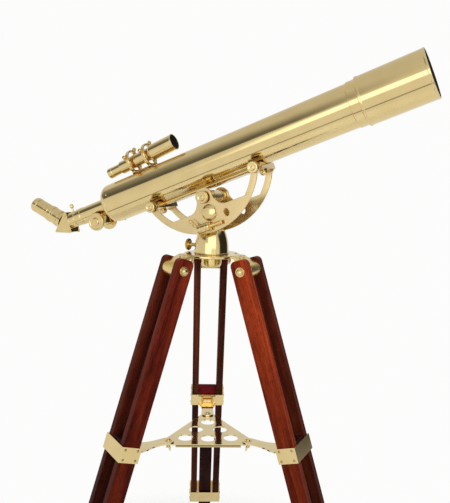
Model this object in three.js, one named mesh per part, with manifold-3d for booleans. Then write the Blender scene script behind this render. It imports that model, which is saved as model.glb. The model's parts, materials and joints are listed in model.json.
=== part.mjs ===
// Brass refracting telescope on a folding mahogany tripod.
// Millimetres, +Z up. Origin: centre of the flat underside of the tripod head, on the azimuth axis.
// The rear leg points along +Y. The telescope's front end points to +X and a little to -Y.
import * as THREE from "three";
import { mergeVertices } from "three/addons/utils/BufferGeometryUtils.js";
import Module from "manifold-3d";

const wasm = await Module();
wasm.setup();

// ---- driving dimensions ----
const GAP = 0.3;

const LEG_BOLT_RADIUS = 90.5;
const LEG_SPLAY = 17.83;
const LEG_HALF_WIDTH = 39.15;
const BAR_THICKNESS = 16.4;
const BAR_DEPTH = 38.7;
const BAR_TOP = 25;
const BAR_CORNER = 12;
const BAR_LENGTH = 760;
const BAR_INNER = LEG_HALF_WIDTH - BAR_THICKNESS;
const SPACER_TOP = 374;
const BRACKET_TOP = 378.3;
const BRACKET_HEIGHT = 33;
const COLLAR_TOP = 722;
const COLLAR_HEIGHT = 35;
const BAND = 3;
const EXTENSION_HALF_WIDTH = 16.5;
const EXTENSION_HALF_DEPTH = 17;
const EXTENSION_TOP = 572;
const FLOOR_DEPTH = 1096;
const HINGE_OFFSET = 27.6;
const HINGE_DOWN = 394;

const HEAD_PLATE_RADIUS = 62;
const HEAD_PLATE_BOTTOM = 23.5;
const HEAD_PLATE_TOP = 29.5;
const HEAD_HUB_RADIUS = 22;
const LUG_HALF_WIDTH = 22.4;
const LUG_BOSS_RADIUS = 19.5;
const LEG_BOLT_BORE = 5.6;
const LEG_BOLT_SHANK = 5;

const TRAY_TOP = -386.4;
const TRAY_THICKNESS = 3;
const TRAY_CORNER_CENTRE = 92;
const TRAY_CORNER_RADIUS = 19;
const TRAY_HOLE_RADIUS = 16.5;
const TRAY_CORNER_HOLE = 59;
const TRAY_EDGE_HOLE = 32.5;
const TRAY_SCREW_RADIUS = 102;
const TRAY_LIP = 4;

const AZIMUTH = 26.48;
const ALTITUDE = 21.05;
const PILLAR_TOP = 84.5;
const SPINDLE_RADIUS = 14;
const PIVOT_HEIGHT = 154;
const PIVOT_BARREL_RADIUS = 14.5;
const LOCK_HEIGHT = 44.5;
const LOCK_TURN = 150;

const PLATE_OFFSET = 42;
const PLATE_THICKNESS = 4;
const CRESCENT_OUTER = 145;
const CRESCENT_INNER = 131;
const CRESCENT_CHORD = -27;
const SADDLE_BOLT = { x: 128, z: 20.3 };
const CLAMP_BARREL = { x: -16, z: -63 };
const RIM_BOSS = { x: 2, z: -35, radius: 17.5, height: 7 };
const LEVER_RISE = 53;

const AXIS_SHIFT = 26.4;
const AXIS_HEIGHT = 68.6;
const TUBE_RADIUS = 45;
const TUBE_WALL = 2;
const TUBE_BACK = -271.5;
const TUBE_FRONT = 371;
const SHIELD_BACK = 340;
const SHIELD_FRONT = 475.5;
const SHIELD_RADIUS = 49.5;
const CAP_BACK = -289;
const FOCUSER_END = -376;
const PINION = { x: -322, z: -29.5 };
const FOCUS_KNOB_RADIUS = 21;
const DRAWTUBE_END = -407;
const DRAWTUBE_LOCK = -396.5;
const DIAGONAL_BEND = -426;
const EYEPIECE_END = 105;
const FINDER_HEIGHT = 72.7;
const FINDER_RINGS = [-191, -147];
const FINDER_RING_RADIUS = 27;
const FINDER_SCREW_ANGLES = [-32, 76, -138];
const FINDER_TILT = 2.7;

// ---- solids ----
const X = new THREE.Vector3(1, 0, 0);
const Y = new THREE.Vector3(0, 1, 0);
const Z = new THREE.Vector3(0, 0, 1);

// A three.js geometry as a manifold solid with its faces outwards.
function solid(geometry) {
  const bare = geometry.clone();
  bare.deleteAttribute("normal");
  bare.deleteAttribute("uv");
  const merged = mergeVertices(bare, 1e-4);
  const vertProperties = new Float32Array(merged.attributes.position.array);
  const triVerts = new Uint32Array(merged.index.array);
  const made = new wasm.Manifold(new wasm.Mesh({ numProp: 3, vertProperties, triVerts }));
  if (made.volume() > 0) return made;
  for (let i = 0; i < triVerts.length; i += 3) {
    [triVerts[i + 1], triVerts[i + 2]] = [triVerts[i + 2], triVerts[i + 1]];
  }
  return new wasm.Manifold(new wasm.Mesh({ numProp: 3, vertProperties, triVerts }));
}

function geometryOf(made) {
  const mesh = made.getMesh();
  const geometry = new THREE.BufferGeometry();
  geometry.setAttribute("position", new THREE.BufferAttribute(new Float32Array(mesh.vertProperties), 3));
  geometry.setIndex(new THREE.BufferAttribute(new Uint32Array(mesh.triVerts), 1));
  geometry.computeVertexNormals();
  return geometry;
}

function join(...geometries) {
  return geometryOf(geometries.map(solid).reduce((sum, next) => sum.add(next)));
}

function cut(geometry, ...tools) {
  return geometryOf(tools.map(solid).reduce((rest, tool) => rest.subtract(tool), solid(geometry)));
}

function common(a, b) {
  return geometryOf(solid(a).intersect(solid(b)));
}

function box(x0, x1, y0, y1, z0, z1) {
  const geometry = new THREE.BoxGeometry(x1 - x0, y1 - y0, z1 - z0);
  return geometry.translate((x0 + x1) / 2, (y0 + y1) / 2, (z0 + z1) / 2);
}

// A turned solid: profile is [along, radius] pairs, axis is "x", "y" or "z".
function turned(profile, axis, segments = 32) {
  const points = profile.map(([along, radius]) => new THREE.Vector2(radius, along));
  if (THREE.ShapeUtils.area(points) < 0) points.reverse();
  const geometry = new THREE.LatheGeometry(points, segments);
  if (axis === "x") geometry.rotateZ(-Math.PI / 2);
  if (axis === "z") geometry.rotateX(Math.PI / 2);
  return geometry;
}

function rod(from, to, radius, axis, segments = 24) {
  return turned([[from, 0], [from, radius], [to, radius], [to, 0]], axis, segments);
}

// A shape drawn in (x, z), spread along y from y0 to y1.
function slabXZ(shape, y0, y1, curveSegments = 12) {
  const geometry = new THREE.ExtrudeGeometry(shape, { depth: y1 - y0, bevelEnabled: false, curveSegments });
  geometry.applyMatrix4(new THREE.Matrix4().makeBasis(X, Z, Y.clone().negate()));
  return geometry.translate(0, y1, 0);
}

// A shape drawn in (y, z), spread along x from x0 to x1.
function slabYZ(shape, x0, x1, curveSegments = 12) {
  const geometry = new THREE.ExtrudeGeometry(shape, { depth: x1 - x0, bevelEnabled: false, curveSegments });
  geometry.applyMatrix4(new THREE.Matrix4().makeBasis(Y, Z, X));
  return geometry.translate(x0, 0, 0);
}

// A shape drawn in (x, y), spread along z from z0 to z1.
function slabXY(shape, z0, z1, curveSegments = 12) {
  const geometry = new THREE.ExtrudeGeometry(shape, { depth: z1 - z0, bevelEnabled: false, curveSegments });
  return geometry.translate(0, 0, z0);
}

function polygon(points) {
  return new THREE.Shape(points.map(([a, b]) => new THREE.Vector2(a, b)));
}

function disc(a, b, radius) {
  const shape = new THREE.Shape();
  shape.absarc(a, b, radius, 0, 2 * Math.PI, false);
  return shape;
}

// A turned knob: a thin neck, then a rimmed disc. It grows along the axis from `from`, in direction `way`.
function knobProfile(from, way, radius, thickness, shank, shankFrom) {
  const at = (distance, r) => [from + way * distance, r];
  return [
    [shankFrom, 0],
    [shankFrom, shank],
    at(0, shank),
    at(0, radius * 0.55),
    at(thickness * 0.25, radius * 0.6),
    at(thickness * 0.35, radius),
    at(thickness * 0.9, radius),
    at(thickness, radius * 0.9),
    at(thickness, 0),
  ];
}

// ---- tripod leg, in its own frame: x across the leg, y outwards, z up along the leg, pivot at 0 ----
function legBar(side) {
  const half = BAR_DEPTH / 2;
  const shape = new THREE.Shape();
  shape.moveTo(-half, -BAR_LENGTH);
  shape.lineTo(half, -BAR_LENGTH);
  shape.absarc(half - BAR_CORNER, BAR_TOP - BAR_CORNER, BAR_CORNER, 0, Math.PI / 2, false);
  shape.absarc(BAR_CORNER - half, BAR_TOP - BAR_CORNER, BAR_CORNER, Math.PI / 2, Math.PI, false);
  shape.closePath();
  const inner = side * BAR_INNER;
  const outer = side * LEG_HALF_WIDTH;
  const bar = slabYZ(shape, Math.min(inner, outer), Math.max(inner, outer), 6);
  return cut(bar, rod(-60, 60, LEG_BOLT_BORE, "x", 20));
}

function legPivotBolt() {
  const face = LEG_HALF_WIDTH + GAP;
  const half = [
    [face, LEG_BOLT_SHANK],
    [face, 9.5],
    [face + 1.8, 9.5],
    [face + 1.9, 8],
    [face + 6, 7.4],
    [face + 8.6, 3],
    [face + 8.6, 0],
  ];
  const mirrored = half.map(([along, radius]) => [-along, radius]).reverse();
  return turned([...mirrored, ...half], "x", 14);
}

function spacerBlock() {
  const half = BAR_INNER - GAP;
  const depth = BAR_DEPTH / 2 - 1.5;
  return box(-half, half, -depth, depth, -BRACKET_TOP - BRACKET_HEIGHT, -SPACER_TOP);
}

// The brass band round both bars; its inner side carries the two ears and the pin for the spreader arm.
function spreaderBracket() {
  const innerX = LEG_HALF_WIDTH + GAP;
  const innerY = BAR_DEPTH / 2 + GAP;
  const bottom = -BRACKET_TOP - BRACKET_HEIGHT;
  const outer = box(-innerX - BAND, innerX + BAND, -innerY - BAND, innerY + BAND, bottom, -BRACKET_TOP);
  const hollow = box(-innerX, innerX, -innerY, innerY, bottom - 1, -BRACKET_TOP + 1);
  const ear = polygon([
    [-innerY - BAND + 0.5, -HINGE_DOWN - 8],
    [-HINGE_OFFSET - 3.5, -HINGE_DOWN - 3.5],
    [-HINGE_OFFSET - 4.6, -HINGE_DOWN],
    [-HINGE_OFFSET - 3.5, -HINGE_DOWN + 3.5],
    [-innerY - BAND + 0.5, -HINGE_DOWN + 8],
  ]);
  const pin = rod(-14, 14, 2.4, "x", 16).translate(0, -HINGE_OFFSET, -HINGE_DOWN);
  return join(cut(outer, hollow), slabYZ(ear, -15, -10.5), slabYZ(ear, 10.5, 15), pin);
}

// The band at the foot of the bars, with cheeks that guide the extension and a hole for the clamp screw.
function clampCollar() {
  const innerX = LEG_HALF_WIDTH + GAP;
  const innerY = BAR_DEPTH / 2 + GAP;
  const bottom = -COLLAR_TOP - COLLAR_HEIGHT;
  const outer = box(-innerX - BAND, innerX + BAND, -innerY - BAND, innerY + BAND, bottom, -COLLAR_TOP);
  const parts = [cut(outer, box(-innerX, innerX, -innerY, innerY, bottom - 1, -COLLAR_TOP + 1))];
  for (const side of [-1, 1]) {
    const near = side * (EXTENSION_HALF_WIDTH + 0.4);
    const far = side * (BAR_INNER - GAP);
    parts.push(box(Math.min(near, far), Math.max(near, far), -innerY - 1, innerY + 1, bottom, -COLLAR_TOP));
  }
  const middle = -COLLAR_TOP - COLLAR_HEIGHT / 2;
  const boss = rod(innerY + 1, innerY + BAND + 5, 9, "y").translate(0, 0, middle);
  const hole = rod(innerY - 1, innerY + BAND + 8, 4.5, "y").translate(0, 0, middle);
  return cut(join(...parts, boss), hole);
}

function clampKnob() {
  const face = BAR_DEPTH / 2 + BAND + 6;
  const middle = -COLLAR_TOP - COLLAR_HEIGHT / 2;
  const tip = EXTENSION_HALF_DEPTH + GAP;
  return turned(knobProfile(face, 1, 15, 11, 4, tip), "y", 20).translate(0, 0, middle);
}

function extension() {
  const w = EXTENSION_HALF_WIDTH;
  const d = EXTENSION_HALF_DEPTH;
  const shaft = box(-w, w, -d, d, -1112, -EXTENSION_TOP);
  const taper = new THREE.CylinderGeometry(w * Math.SQRT2, 13 * Math.SQRT2, 60, 4);
  taper.rotateX(Math.PI / 2);
  taper.rotateZ(Math.PI / 4);
  taper.translate(0, 0, -1142);
  const below = box(-200, 200, -900, 900, -400, 0);
  below.translate(0, 0, -FLOOR_DEPTH);
  below.translate(0, -LEG_BOLT_RADIUS, 0);
  below.rotateX(THREE.MathUtils.degToRad(-LEG_SPLAY));
  return cut(join(shaft, taper), below);
}

// The flat arm from a bracket to the tray, in a frame with its hinge at 0 and the tray towards -y.
function spreaderArm(reach) {
  const shape = new THREE.Shape();
  const tip = reach + 12;
  shape.moveTo(-22.5, -7.5);
  shape.lineTo(22.5, -7.5);
  shape.lineTo(22.5, -16);
  shape.bezierCurveTo(20, -32, 14, -34, 14, -54);
  shape.bezierCurveTo(14, -66, 15, -70, 15, -reach + 4);
  shape.bezierCurveTo(15, -tip + 5, 8, -tip, 0, -tip);
  shape.bezierCurveTo(-8, -tip, -15, -tip + 5, -15, -reach + 4);
  shape.bezierCurveTo(-15, -70, -14, -66, -14, -54);
  shape.bezierCurveTo(-14, -34, -20, -32, -22.5, -16);
  shape.closePath();
  const plate = slabXY(shape, -2.6, 0.4, 5);
  const neck = box(-10, 10, -9, 0, -2.6, 0.4);
  const barrel = rod(-10, 10, 4.4, "x", 16);
  const bore = rod(-12, 12, 2.9, "x", 16);
  const hole = rod(-6, 4, 5.6, "z", 14).translate(0, -reach, 0);
  return cut(join(plate, neck, barrel), bore, hole);
}

// ---- tray ----
function triangle(centre, radius) {
  const shape = new THREE.Shape();
  for (let i = 0; i < 3; i++) {
    const angle = THREE.MathUtils.degToRad(90 + 120 * i);
    const x = centre * Math.cos(angle);
    const y = centre * Math.sin(angle);
    shape.absarc(x, y, radius, angle - Math.PI / 3, angle + Math.PI / 3, false);
  }
  shape.closePath();
  return shape;
}

function tray() {
  const bottom = TRAY_TOP - TRAY_THICKNESS;
  const plate = slabXY(triangle(TRAY_CORNER_CENTRE, TRAY_CORNER_RADIUS), bottom, TRAY_TOP, 8);
  const tools = [];
  for (let i = 0; i < 3; i++) {
    const corner = THREE.MathUtils.degToRad(90 + 120 * i);
    const edge = corner + Math.PI / 3;
    const spots = [
      [corner, TRAY_CORNER_HOLE, TRAY_HOLE_RADIUS],
      [edge, TRAY_EDGE_HOLE, TRAY_HOLE_RADIUS],
      [corner, TRAY_SCREW_RADIUS, 4.8],
    ];
    for (const [angle, distance, radius] of spots) {
      const hole = rod(bottom - 1, TRAY_TOP + 1, radius, "z", radius > 6 ? 22 : 14);
      tools.push(hole.translate(distance * Math.cos(angle), distance * Math.sin(angle), 0));
    }
  }
  const parts = [cut(plate, ...tools)];
  const half = 72;
  const inradius = TRAY_CORNER_CENTRE / 2 + TRAY_CORNER_RADIUS;
  for (let i = 0; i < 3; i++) {
    const lip = box(-half, half, -inradius, -inradius + 2, bottom - TRAY_LIP, bottom + 1);
    parts.push(lip.rotateZ(THREE.MathUtils.degToRad(120 * i)));
  }
  return join(...parts);
}

// A screw with two wings under the tray and a domed tip above the arm, on the line x = y = 0.
function wingScrew() {
  const top = TRAY_TOP + GAP + 3;
  const bottom = TRAY_TOP - TRAY_THICKNESS - GAP;
  const body = turned([
    [bottom - 10, 0],
    [bottom - 10, 3.8],
    [bottom - 2, 6.5],
    [bottom, 6.5],
    [bottom, 4],
    [top + 1, 4],
    [top + 3.2, 2.4],
    [top + 3.6, 0],
  ], "z", 16);
  const outline = [[2, bottom - 9], [8, bottom - 15], [10, bottom - 13], [10, bottom - 6], [3, bottom - 2]];
  const wing = polygon(outline);
  const other = polygon(outline.map(([x, z]) => [-x, z]).reverse());
  return join(body, slabXZ(wing, -1.3, 1.3), slabXZ(other, -1.3, 1.3));
}

// ---- tripod head and azimuth pillar ----
function tripodHead() {
  const parts = [
    turned([
      [0, 0],
      [0, HEAD_HUB_RADIUS - 4.5],
      [1.5, HEAD_HUB_RADIUS - 2],
      [4.5, HEAD_HUB_RADIUS - 0.5],
      [10, HEAD_HUB_RADIUS],
      [HEAD_PLATE_BOTTOM + 1, HEAD_HUB_RADIUS + 0.8],
      [HEAD_PLATE_BOTTOM + 1, 0],
    ], "z", 32),
    turned([
      [HEAD_PLATE_BOTTOM, 0],
      [HEAD_PLATE_BOTTOM, HEAD_PLATE_RADIUS - 1],
      [HEAD_PLATE_BOTTOM + 1, HEAD_PLATE_RADIUS],
      [HEAD_PLATE_TOP - 1.5, HEAD_PLATE_RADIUS],
      [HEAD_PLATE_TOP, HEAD_PLATE_RADIUS - 1.5],
      [HEAD_PLATE_TOP, 0],
    ], "z", 44),
  ];
  const shape = new THREE.Shape();
  shape.moveTo(HEAD_HUB_RADIUS - 2, HEAD_PLATE_BOTTOM);
  shape.lineTo(64, HEAD_PLATE_BOTTOM);
  shape.absarc(LEG_BOLT_RADIUS, 0, LUG_BOSS_RADIUS, Math.PI * 0.8, Math.PI * 2.45, false);
  shape.lineTo(68, HEAD_PLATE_TOP);
  shape.lineTo(HEAD_HUB_RADIUS - 2, HEAD_PLATE_TOP);
  shape.closePath();
  for (let i = 0; i < 3; i++) {
    const lug = cut(
      slabYZ(shape, -LUG_HALF_WIDTH, LUG_HALF_WIDTH, 18),
      rod(-40, 40, LEG_BOLT_BORE, "x", 20).translate(0, LEG_BOLT_RADIUS, 0),
    );
    parts.push(lug.rotateZ(THREE.MathUtils.degToRad(120 * i)));
  }
  return join(...parts);
}

function azimuthPillar() {
  const bottom = HEAD_PLATE_TOP + GAP;
  const body = turned([
    [bottom, 0],
    [bottom, 38.4],
    [bottom + 1.6, 38.4],
    [bottom + 2.2, 37.6],
    [40, 37.2],
    [50, 36.5],
    [60, 35],
    [68, 33],
    [75, 30.8],
    [80, 28.9],
    [PILLAR_TOP - 0.8, 26.5],
    [PILLAR_TOP, 25],
    [PILLAR_TOP, SPINDLE_RADIUS + 0.8],
    [36, SPINDLE_RADIUS + 0.8],
    [36, 0],
  ], "z", 36);
  return cut(body, lockPlace(rod(5, 60, 4.5, "x")));
}

function lockPlace(geometry) {
  return geometry.rotateZ(THREE.MathUtils.degToRad(LOCK_TURN)).translate(0, 0, LOCK_HEIGHT);
}

function azimuthLock() {
  return lockPlace(turned(knobProfile(56, 1, 13.3, 6, 4, SPINDLE_RADIUS + 0.5), "x", 28));
}

// ---- azimuth carrier, in the azimuth frame: x along the telescope, y across it ----
function yokeCarrier() {
  const cap = PILLAR_TOP + GAP;
  const spindle = turned([
    [37, 0],
    [37, SPINDLE_RADIUS],
    [cap, SPINDLE_RADIUS],
    [cap, 24],
    [cap + 1, 25],
    [cap + 4, 24],
    [cap + 8, 17],
    [cap + 9, 0],
  ], "z", 32);
  const tongue = box(-12.5, 12.5, -17, 17, cap + 3, PIVOT_HEIGHT);
  const barrel = turned([
    [-PLATE_OFFSET + 0.4, 0],
    [-PLATE_OFFSET + 0.4, PIVOT_BARREL_RADIUS - 1.5],
    [-PLATE_OFFSET + 2, PIVOT_BARREL_RADIUS],
    [PLATE_OFFSET - 2, PIVOT_BARREL_RADIUS],
    [PLATE_OFFSET - 0.4, PIVOT_BARREL_RADIUS - 1.5],
    [PLATE_OFFSET - 0.4, 0],
  ], "y", 28).translate(0, 0, PIVOT_HEIGHT);
  const bore = rod(-60, 60, 6.6, "y", 20).translate(0, 0, PIVOT_HEIGHT);
  return cut(join(spindle, tongue, barrel), bore);
}

// ---- tilting yoke, in the tilt frame: pivot at 0, x along the tube, near side -y ----
const PLATE_FACE = PLATE_OFFSET + PLATE_THICKNESS;

function crescentPlate(side) {
  const y0 = side < 0 ? -PLATE_FACE : PLATE_OFFSET;
  const y1 = y0 + PLATE_THICKNESS;
  const over = 2;
  const moon = slabXZ(disc(0, AXIS_HEIGHT, CRESCENT_OUTER), y0, y1, 36);
  const upper = box(-200, 200, y0 - over, y1 + over, SADDLE_BOLT.z, 300);
  const scoop = common(
    slabXZ(disc(0, AXIS_HEIGHT, CRESCENT_INNER), y0 - over, y1 + over, 32),
    box(-200, 200, y0 - over, y1 + over, CRESCENT_CHORD, 300),
  );
  const flare = polygon([[-40, CRESCENT_CHORD - 1], [40, CRESCENT_CHORD - 1], [27, -20], [19, -6], [-19, -6], [-27, -20]]);
  const dome = [[-1, 0], [-1, 1], [0.25, 1], [0.6, 0.9], [0.85, 0.7], [1, 0.4], [1, 0]];
  const boss = turned(
    dome.map(([rise, spread]) => [side * (PLATE_FACE + rise * RIM_BOSS.height), spread * RIM_BOSS.radius]),
    "y",
    32,
  );
  const parts = [
    cut(moon, upper, scoop),
    slabXZ(flare, y0, y1),
    slabXZ(disc(0, 0, 20), y0, y1, 12),
    cut(boss.translate(RIM_BOSS.x, 0, RIM_BOSS.z), box(-60, 60, -PLATE_OFFSET - 1, PLATE_OFFSET + 1, -60, 60)),
  ];
  const holes = [rod(-80, 80, 6.6, "y", 20)];
  for (const way of [-1, 1]) {
    parts.push(slabXZ(disc(way * SADDLE_BOLT.x, SADDLE_BOLT.z, 12), y0, y1, 10));
    holes.push(rod(-80, 80, 4.6, "y", 16).translate(way * SADDLE_BOLT.x, 0, SADDLE_BOLT.z));
    const slot = new THREE.Shape();
    slot.absellipse(way * 39.5, -46.5, 6.5, 8.5, 0, 2 * Math.PI, false, 0);
    holes.push(slabXZ(slot, -80, 80, 8));
  }
  if (side < 0) {
    const stub = rod(-PLATE_FACE - 6, -PLATE_FACE + 1, 3.4, "y", 16);
    parts.push(stub.translate(CLAMP_BARREL.x, 0, CLAMP_BARREL.z));
  }
  return cut(join(...parts), ...holes);
}

function pivotKnob() {
  const face = PLATE_FACE + 0.4;
  return turned(knobProfile(-face, -1, 13.5, 11, 6, face + 8), "y", 28);
}

function pivotNut() {
  const face = PLATE_FACE + 0.4;
  const knob = turned(knobProfile(face, 1, 13.5, 13, 7.8, face), "y", 28);
  return cut(knob, rod(face - 1, face + 8.6, 6.6, "y", 24));
}

// The short barrel with a tommy bar and a threaded rod that turns on a stub on the near plate.
function clampLever() {
  const y = -PLATE_FACE - 0.4;
  const barrel = turned([
    [-15, 0],
    [-15, 8],
    [-13.5, 10],
    [13, 10],
    [14, 9],
    [15, 6],
    [15, 4.5],
    [41, 4.5],
    [42, 3.5],
    [42, 0],
  ], "x", 20);
  const bar = turned([[0, 0], [0, 2.2], [25, 2.2], [26, 3.2], [31, 3.2], [32, 2], [32, 0]], "x", 10);
  bar.rotateY(THREE.MathUtils.degToRad(180 + LEVER_RISE)).translate(-9, 0, 0);
  const hole = rod(3.5, 12, 3.9, "y", 16);
  const lever = cut(join(barrel, bar), hole);
  return lever.translate(CLAMP_BARREL.x, y - 10.1, CLAMP_BARREL.z);
}

// The rail and two cross blocks that hold the tube on the crescent plates.
function saddle() {
  const parts = [box(-112, 112, -14, 14, 18.8, 34)];
  const holes = [rod(-300, 300, TUBE_RADIUS + 0.35, "x", 60).translate(0, 0, AXIS_HEIGHT)];
  for (const way of [-1, 1]) {
    const centre = way * 127;
    parts.push(box(centre - 16, centre + 16, -PLATE_OFFSET + 0.4, PLATE_OFFSET - 0.4, 13.5, 27));
    const nut = turned([[3, 0], [3.8, 4.5], [7, 7.8], [14, 8.4], [14, 0]], "z", 18);
    parts.push(nut.translate(centre + way * 2, 0, 0));
    holes.push(rod(-80, 10.5 - PLATE_OFFSET, 4.6, "y", 16).translate(way * SADDLE_BOLT.x, 0, SADDLE_BOLT.z));
    const rivet = turned([
      [PLATE_OFFSET - 6, 0],
      [PLATE_OFFSET - 6, 4],
      [PLATE_FACE + GAP, 4],
      [PLATE_FACE + GAP, 7],
      [PLATE_FACE + 2.4, 5.6],
      [PLATE_FACE + 3.4, 0],
    ], "y", 16);
    parts.push(rivet.translate(way * SADDLE_BOLT.x, 0, SADDLE_BOLT.z));
  }
  return cut(join(...parts), ...holes);
}

function saddleBolt(way) {
  const face = PLATE_FACE + 0.4;
  const bolt = turned(knobProfile(-face, -1, 12, 10, 4, 9.5 - PLATE_OFFSET), "y", 22);
  return bolt.translate(way * SADDLE_BOLT.x, 0, SADDLE_BOLT.z);
}

// ---- telescope, in the tube frame: x along the optical axis, z up from it ----
function mainTube() {
  const inner = TUBE_RADIUS - TUBE_WALL;
  return turned([
    [TUBE_BACK, inner],
    [TUBE_BACK, TUBE_RADIUS],
    [321, TUBE_RADIUS],
    [321.6, 46.8],
    [TUBE_FRONT, 46.8],
    [TUBE_FRONT, inner],
    [336, inner],
    [336, 40],
    [330, 40],
    [330, inner],
    [TUBE_BACK, inner],
  ], "x", 48);
}

function objectiveLens() {
  return turned([
    [333, 0],
    [334, 20],
    [336.3, 39],
    [336.3, 42.5],
    [343, 42.5],
    [346.6, 22],
    [347.8, 0],
  ], "x", 36);
}

function dewShield() {
  return turned([
    [SHIELD_BACK, 47.2],
    [SHIELD_BACK, SHIELD_RADIUS + 0.2],
    [SHIELD_BACK + 1, SHIELD_RADIUS + 0.9],
    [SHIELD_BACK + 4, SHIELD_RADIUS + 0.9],
    [SHIELD_BACK + 5, SHIELD_RADIUS],
    [SHIELD_FRONT - 5, SHIELD_RADIUS],
    [SHIELD_FRONT - 4, SHIELD_RADIUS + 0.6],
    [SHIELD_FRONT - 0.6, SHIELD_RADIUS + 0.6],
    [SHIELD_FRONT, SHIELD_RADIUS],
    [SHIELD_FRONT, 47.2],
    [SHIELD_BACK, 47.2],
  ], "x", 48);
}

// The rounded back cap, the focuser's barrel and the housing under it for the pinion.
function focuserBody() {
  const shoulder = [[0, 44.9], [-6, 44], [-11.5, 40.8], [-15.5, 35], [-17.4, 27]];
  const profile = [
    [TUBE_BACK + 8, 17.2],
    [TUBE_BACK + 8, 42.6],
    [TUBE_BACK - GAP, 42.6],
    ...shoulder.map(([along, radius]) => [TUBE_BACK - GAP + along, radius]),
    [CAP_BACK - 3, 19.4],
    [FOCUSER_END + 8, 19.4],
    [FOCUSER_END + 7, 20.2],
    [FOCUSER_END, 20.2],
    [FOCUSER_END, 17.2],
    [TUBE_BACK + 8, 17.2],
  ];
  const housing = box(PINION.x - 13, PINION.x + 13, -15, 15, PINION.z - 8, -12);
  const drum = rod(-17, 17, 10, "y", 24).translate(PINION.x, 0, PINION.z);
  const bore = rod(-40, 40, 4.6, "y", 20).translate(PINION.x, 0, PINION.z);
  const draw = rod(FOCUSER_END - 5, TUBE_BACK + 20, 17.2, "x", 36);
  return cut(join(turned(profile, "x", 36), housing, drum), draw, bore);
}

function focusKnobs() {
  const face = 17.6;
  const side = [
    [face, 4],
    [face, 9],
    [face + 3, 9],
    [face + 4, FOCUS_KNOB_RADIUS],
    [face + 11, FOCUS_KNOB_RADIUS],
    [face + 12, FOCUS_KNOB_RADIUS - 1.3],
    [face + 12, 9.4],
    [face + 14, 8],
    [face + 14, 0],
  ];
  const mirrored = side.map(([along, radius]) => [-along, radius]).reverse();
  return turned([...mirrored, ...side], "y", 26).translate(PINION.x, 0, PINION.z);
}

function drawtube() {
  const end = DRAWTUBE_END;
  const tube = turned([
    [FOCUSER_END + 80, 14.5],
    [FOCUSER_END + 80, 16.7],
    [FOCUSER_END - GAP, 16.7],
    [FOCUSER_END - GAP, 19.8],
    [FOCUSER_END - 5, 19.8],
    [FOCUSER_END - 6, 18.2],
    [end + 19, 17.6],
    [end + 18, 19],
    [end, 19],
    [end, 15.6],
    [end + 22, 15.6],
    [end + 22, 14.5],
    [FOCUSER_END + 80, 14.5],
  ], "x", 28);
  return cut(tube, rod(0, 40, 2.6, "z", 12).translate(DRAWTUBE_LOCK, 0, 0));
}

function drawtubeLock() {
  return turned([
    [16, 0],
    [16, 2],
    [28, 2],
    [29, 3.6],
    [32, 4.6],
    [36, 4.6],
    [38, 3.2],
    [38.4, 0],
  ], "z", 16).translate(DRAWTUBE_LOCK, 0, 0);
}

// The wedge whose sloping underside turns the light 45 degrees upwards, its nose and the eyepiece holder.
function diagonalBody() {
  const front = DRAWTUBE_END - GAP;
  const wedge = polygon([
    [front, -29],
    [front, 22.5],
    [front - 2, 24],
    [front - 46, -11],
    [front - 46.5, -14.5],
    [front - 3, -30],
  ]);
  const nose = rod(front - 2, front + 18, 15.2, "x", 24);
  const bend = bendPlace();
  const holder = turned([
    [10, 0],
    [10, 19.4],
    [19, 19.4],
    [20, 20.6],
    [29, 20.6],
    [30, 19.4],
    [43, 19.4],
    [44, 20.3],
    [53, 20.3],
    [53, 0],
  ], "x", 28).applyMatrix4(bend);
  const socket = rod(22, 60, 16.4, "x", 28).applyMatrix4(bend);
  return cut(join(slabXZ(wedge, -16.5, 16.5), nose, holder), socket);
}

function bendPlace() {
  const bend = new THREE.Matrix4().makeRotationY(THREE.MathUtils.degToRad(180 + 45));
  return bend.setPosition(DIAGONAL_BEND, 0, 0);
}

function eyepiece() {
  const end = EYEPIECE_END;
  return turned([
    [24, 0],
    [24, 15.9],
    [53.4, 15.9],
    [53.4, 17],
    [56, 18.4],
    [end - 17, 18.4],
    [end - 16, 17.4],
    [end - 14, 17.4],
    [end - 13, 18.4],
    [end - 4, 18.4],
    [end, 16.2],
    [end, 11],
    [end - 3, 9],
    [end - 3, 0],
  ], "x", 28).applyMatrix4(bendPlace());
}

// ---- finder, in the tube frame ----
function finderBracket() {
  const [rear, front] = FINDER_RINGS;
  const parts = [box(rear - 7, front + 7, -8, 8, 43, 48.5)];
  const tools = [rod(rear - 60, front + 60, TUBE_RADIUS + 0.35, "x", 60)];
  for (const at of FINDER_RINGS) {
    parts.push(rod(at - 4, at + 4, FINDER_RING_RADIUS, "x", 32).translate(0, 0, FINDER_HEIGHT));
    parts.push(box(at - 4, at + 4, -13, 13, 42, 51));
    tools.push(rod(at - 9, at + 9, FINDER_RING_RADIUS - 4, "x", 28).translate(0, 0, FINDER_HEIGHT));
    for (const angle of FINDER_SCREW_ANGLES) tools.push(finderScrewPlace(rod(20, 34, 2.5, "z", 10), at, angle));
  }
  return cut(join(...parts), ...tools);
}

function finderScrewPlace(geometry, at, angle) {
  return geometry.rotateX(THREE.MathUtils.degToRad(angle)).translate(at, 0, FINDER_HEIGHT);
}

function finderScrew(at, angle) {
  const screw = turned([
    [16.2, 0],
    [16.2, 2],
    [29, 2],
    [30, 3.4],
    [31.5, 4.4],
    [37, 4.4],
    [39, 3],
    [39.4, 0],
  ], "z", 14);
  return finderScrewPlace(screw, at, angle);
}

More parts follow.
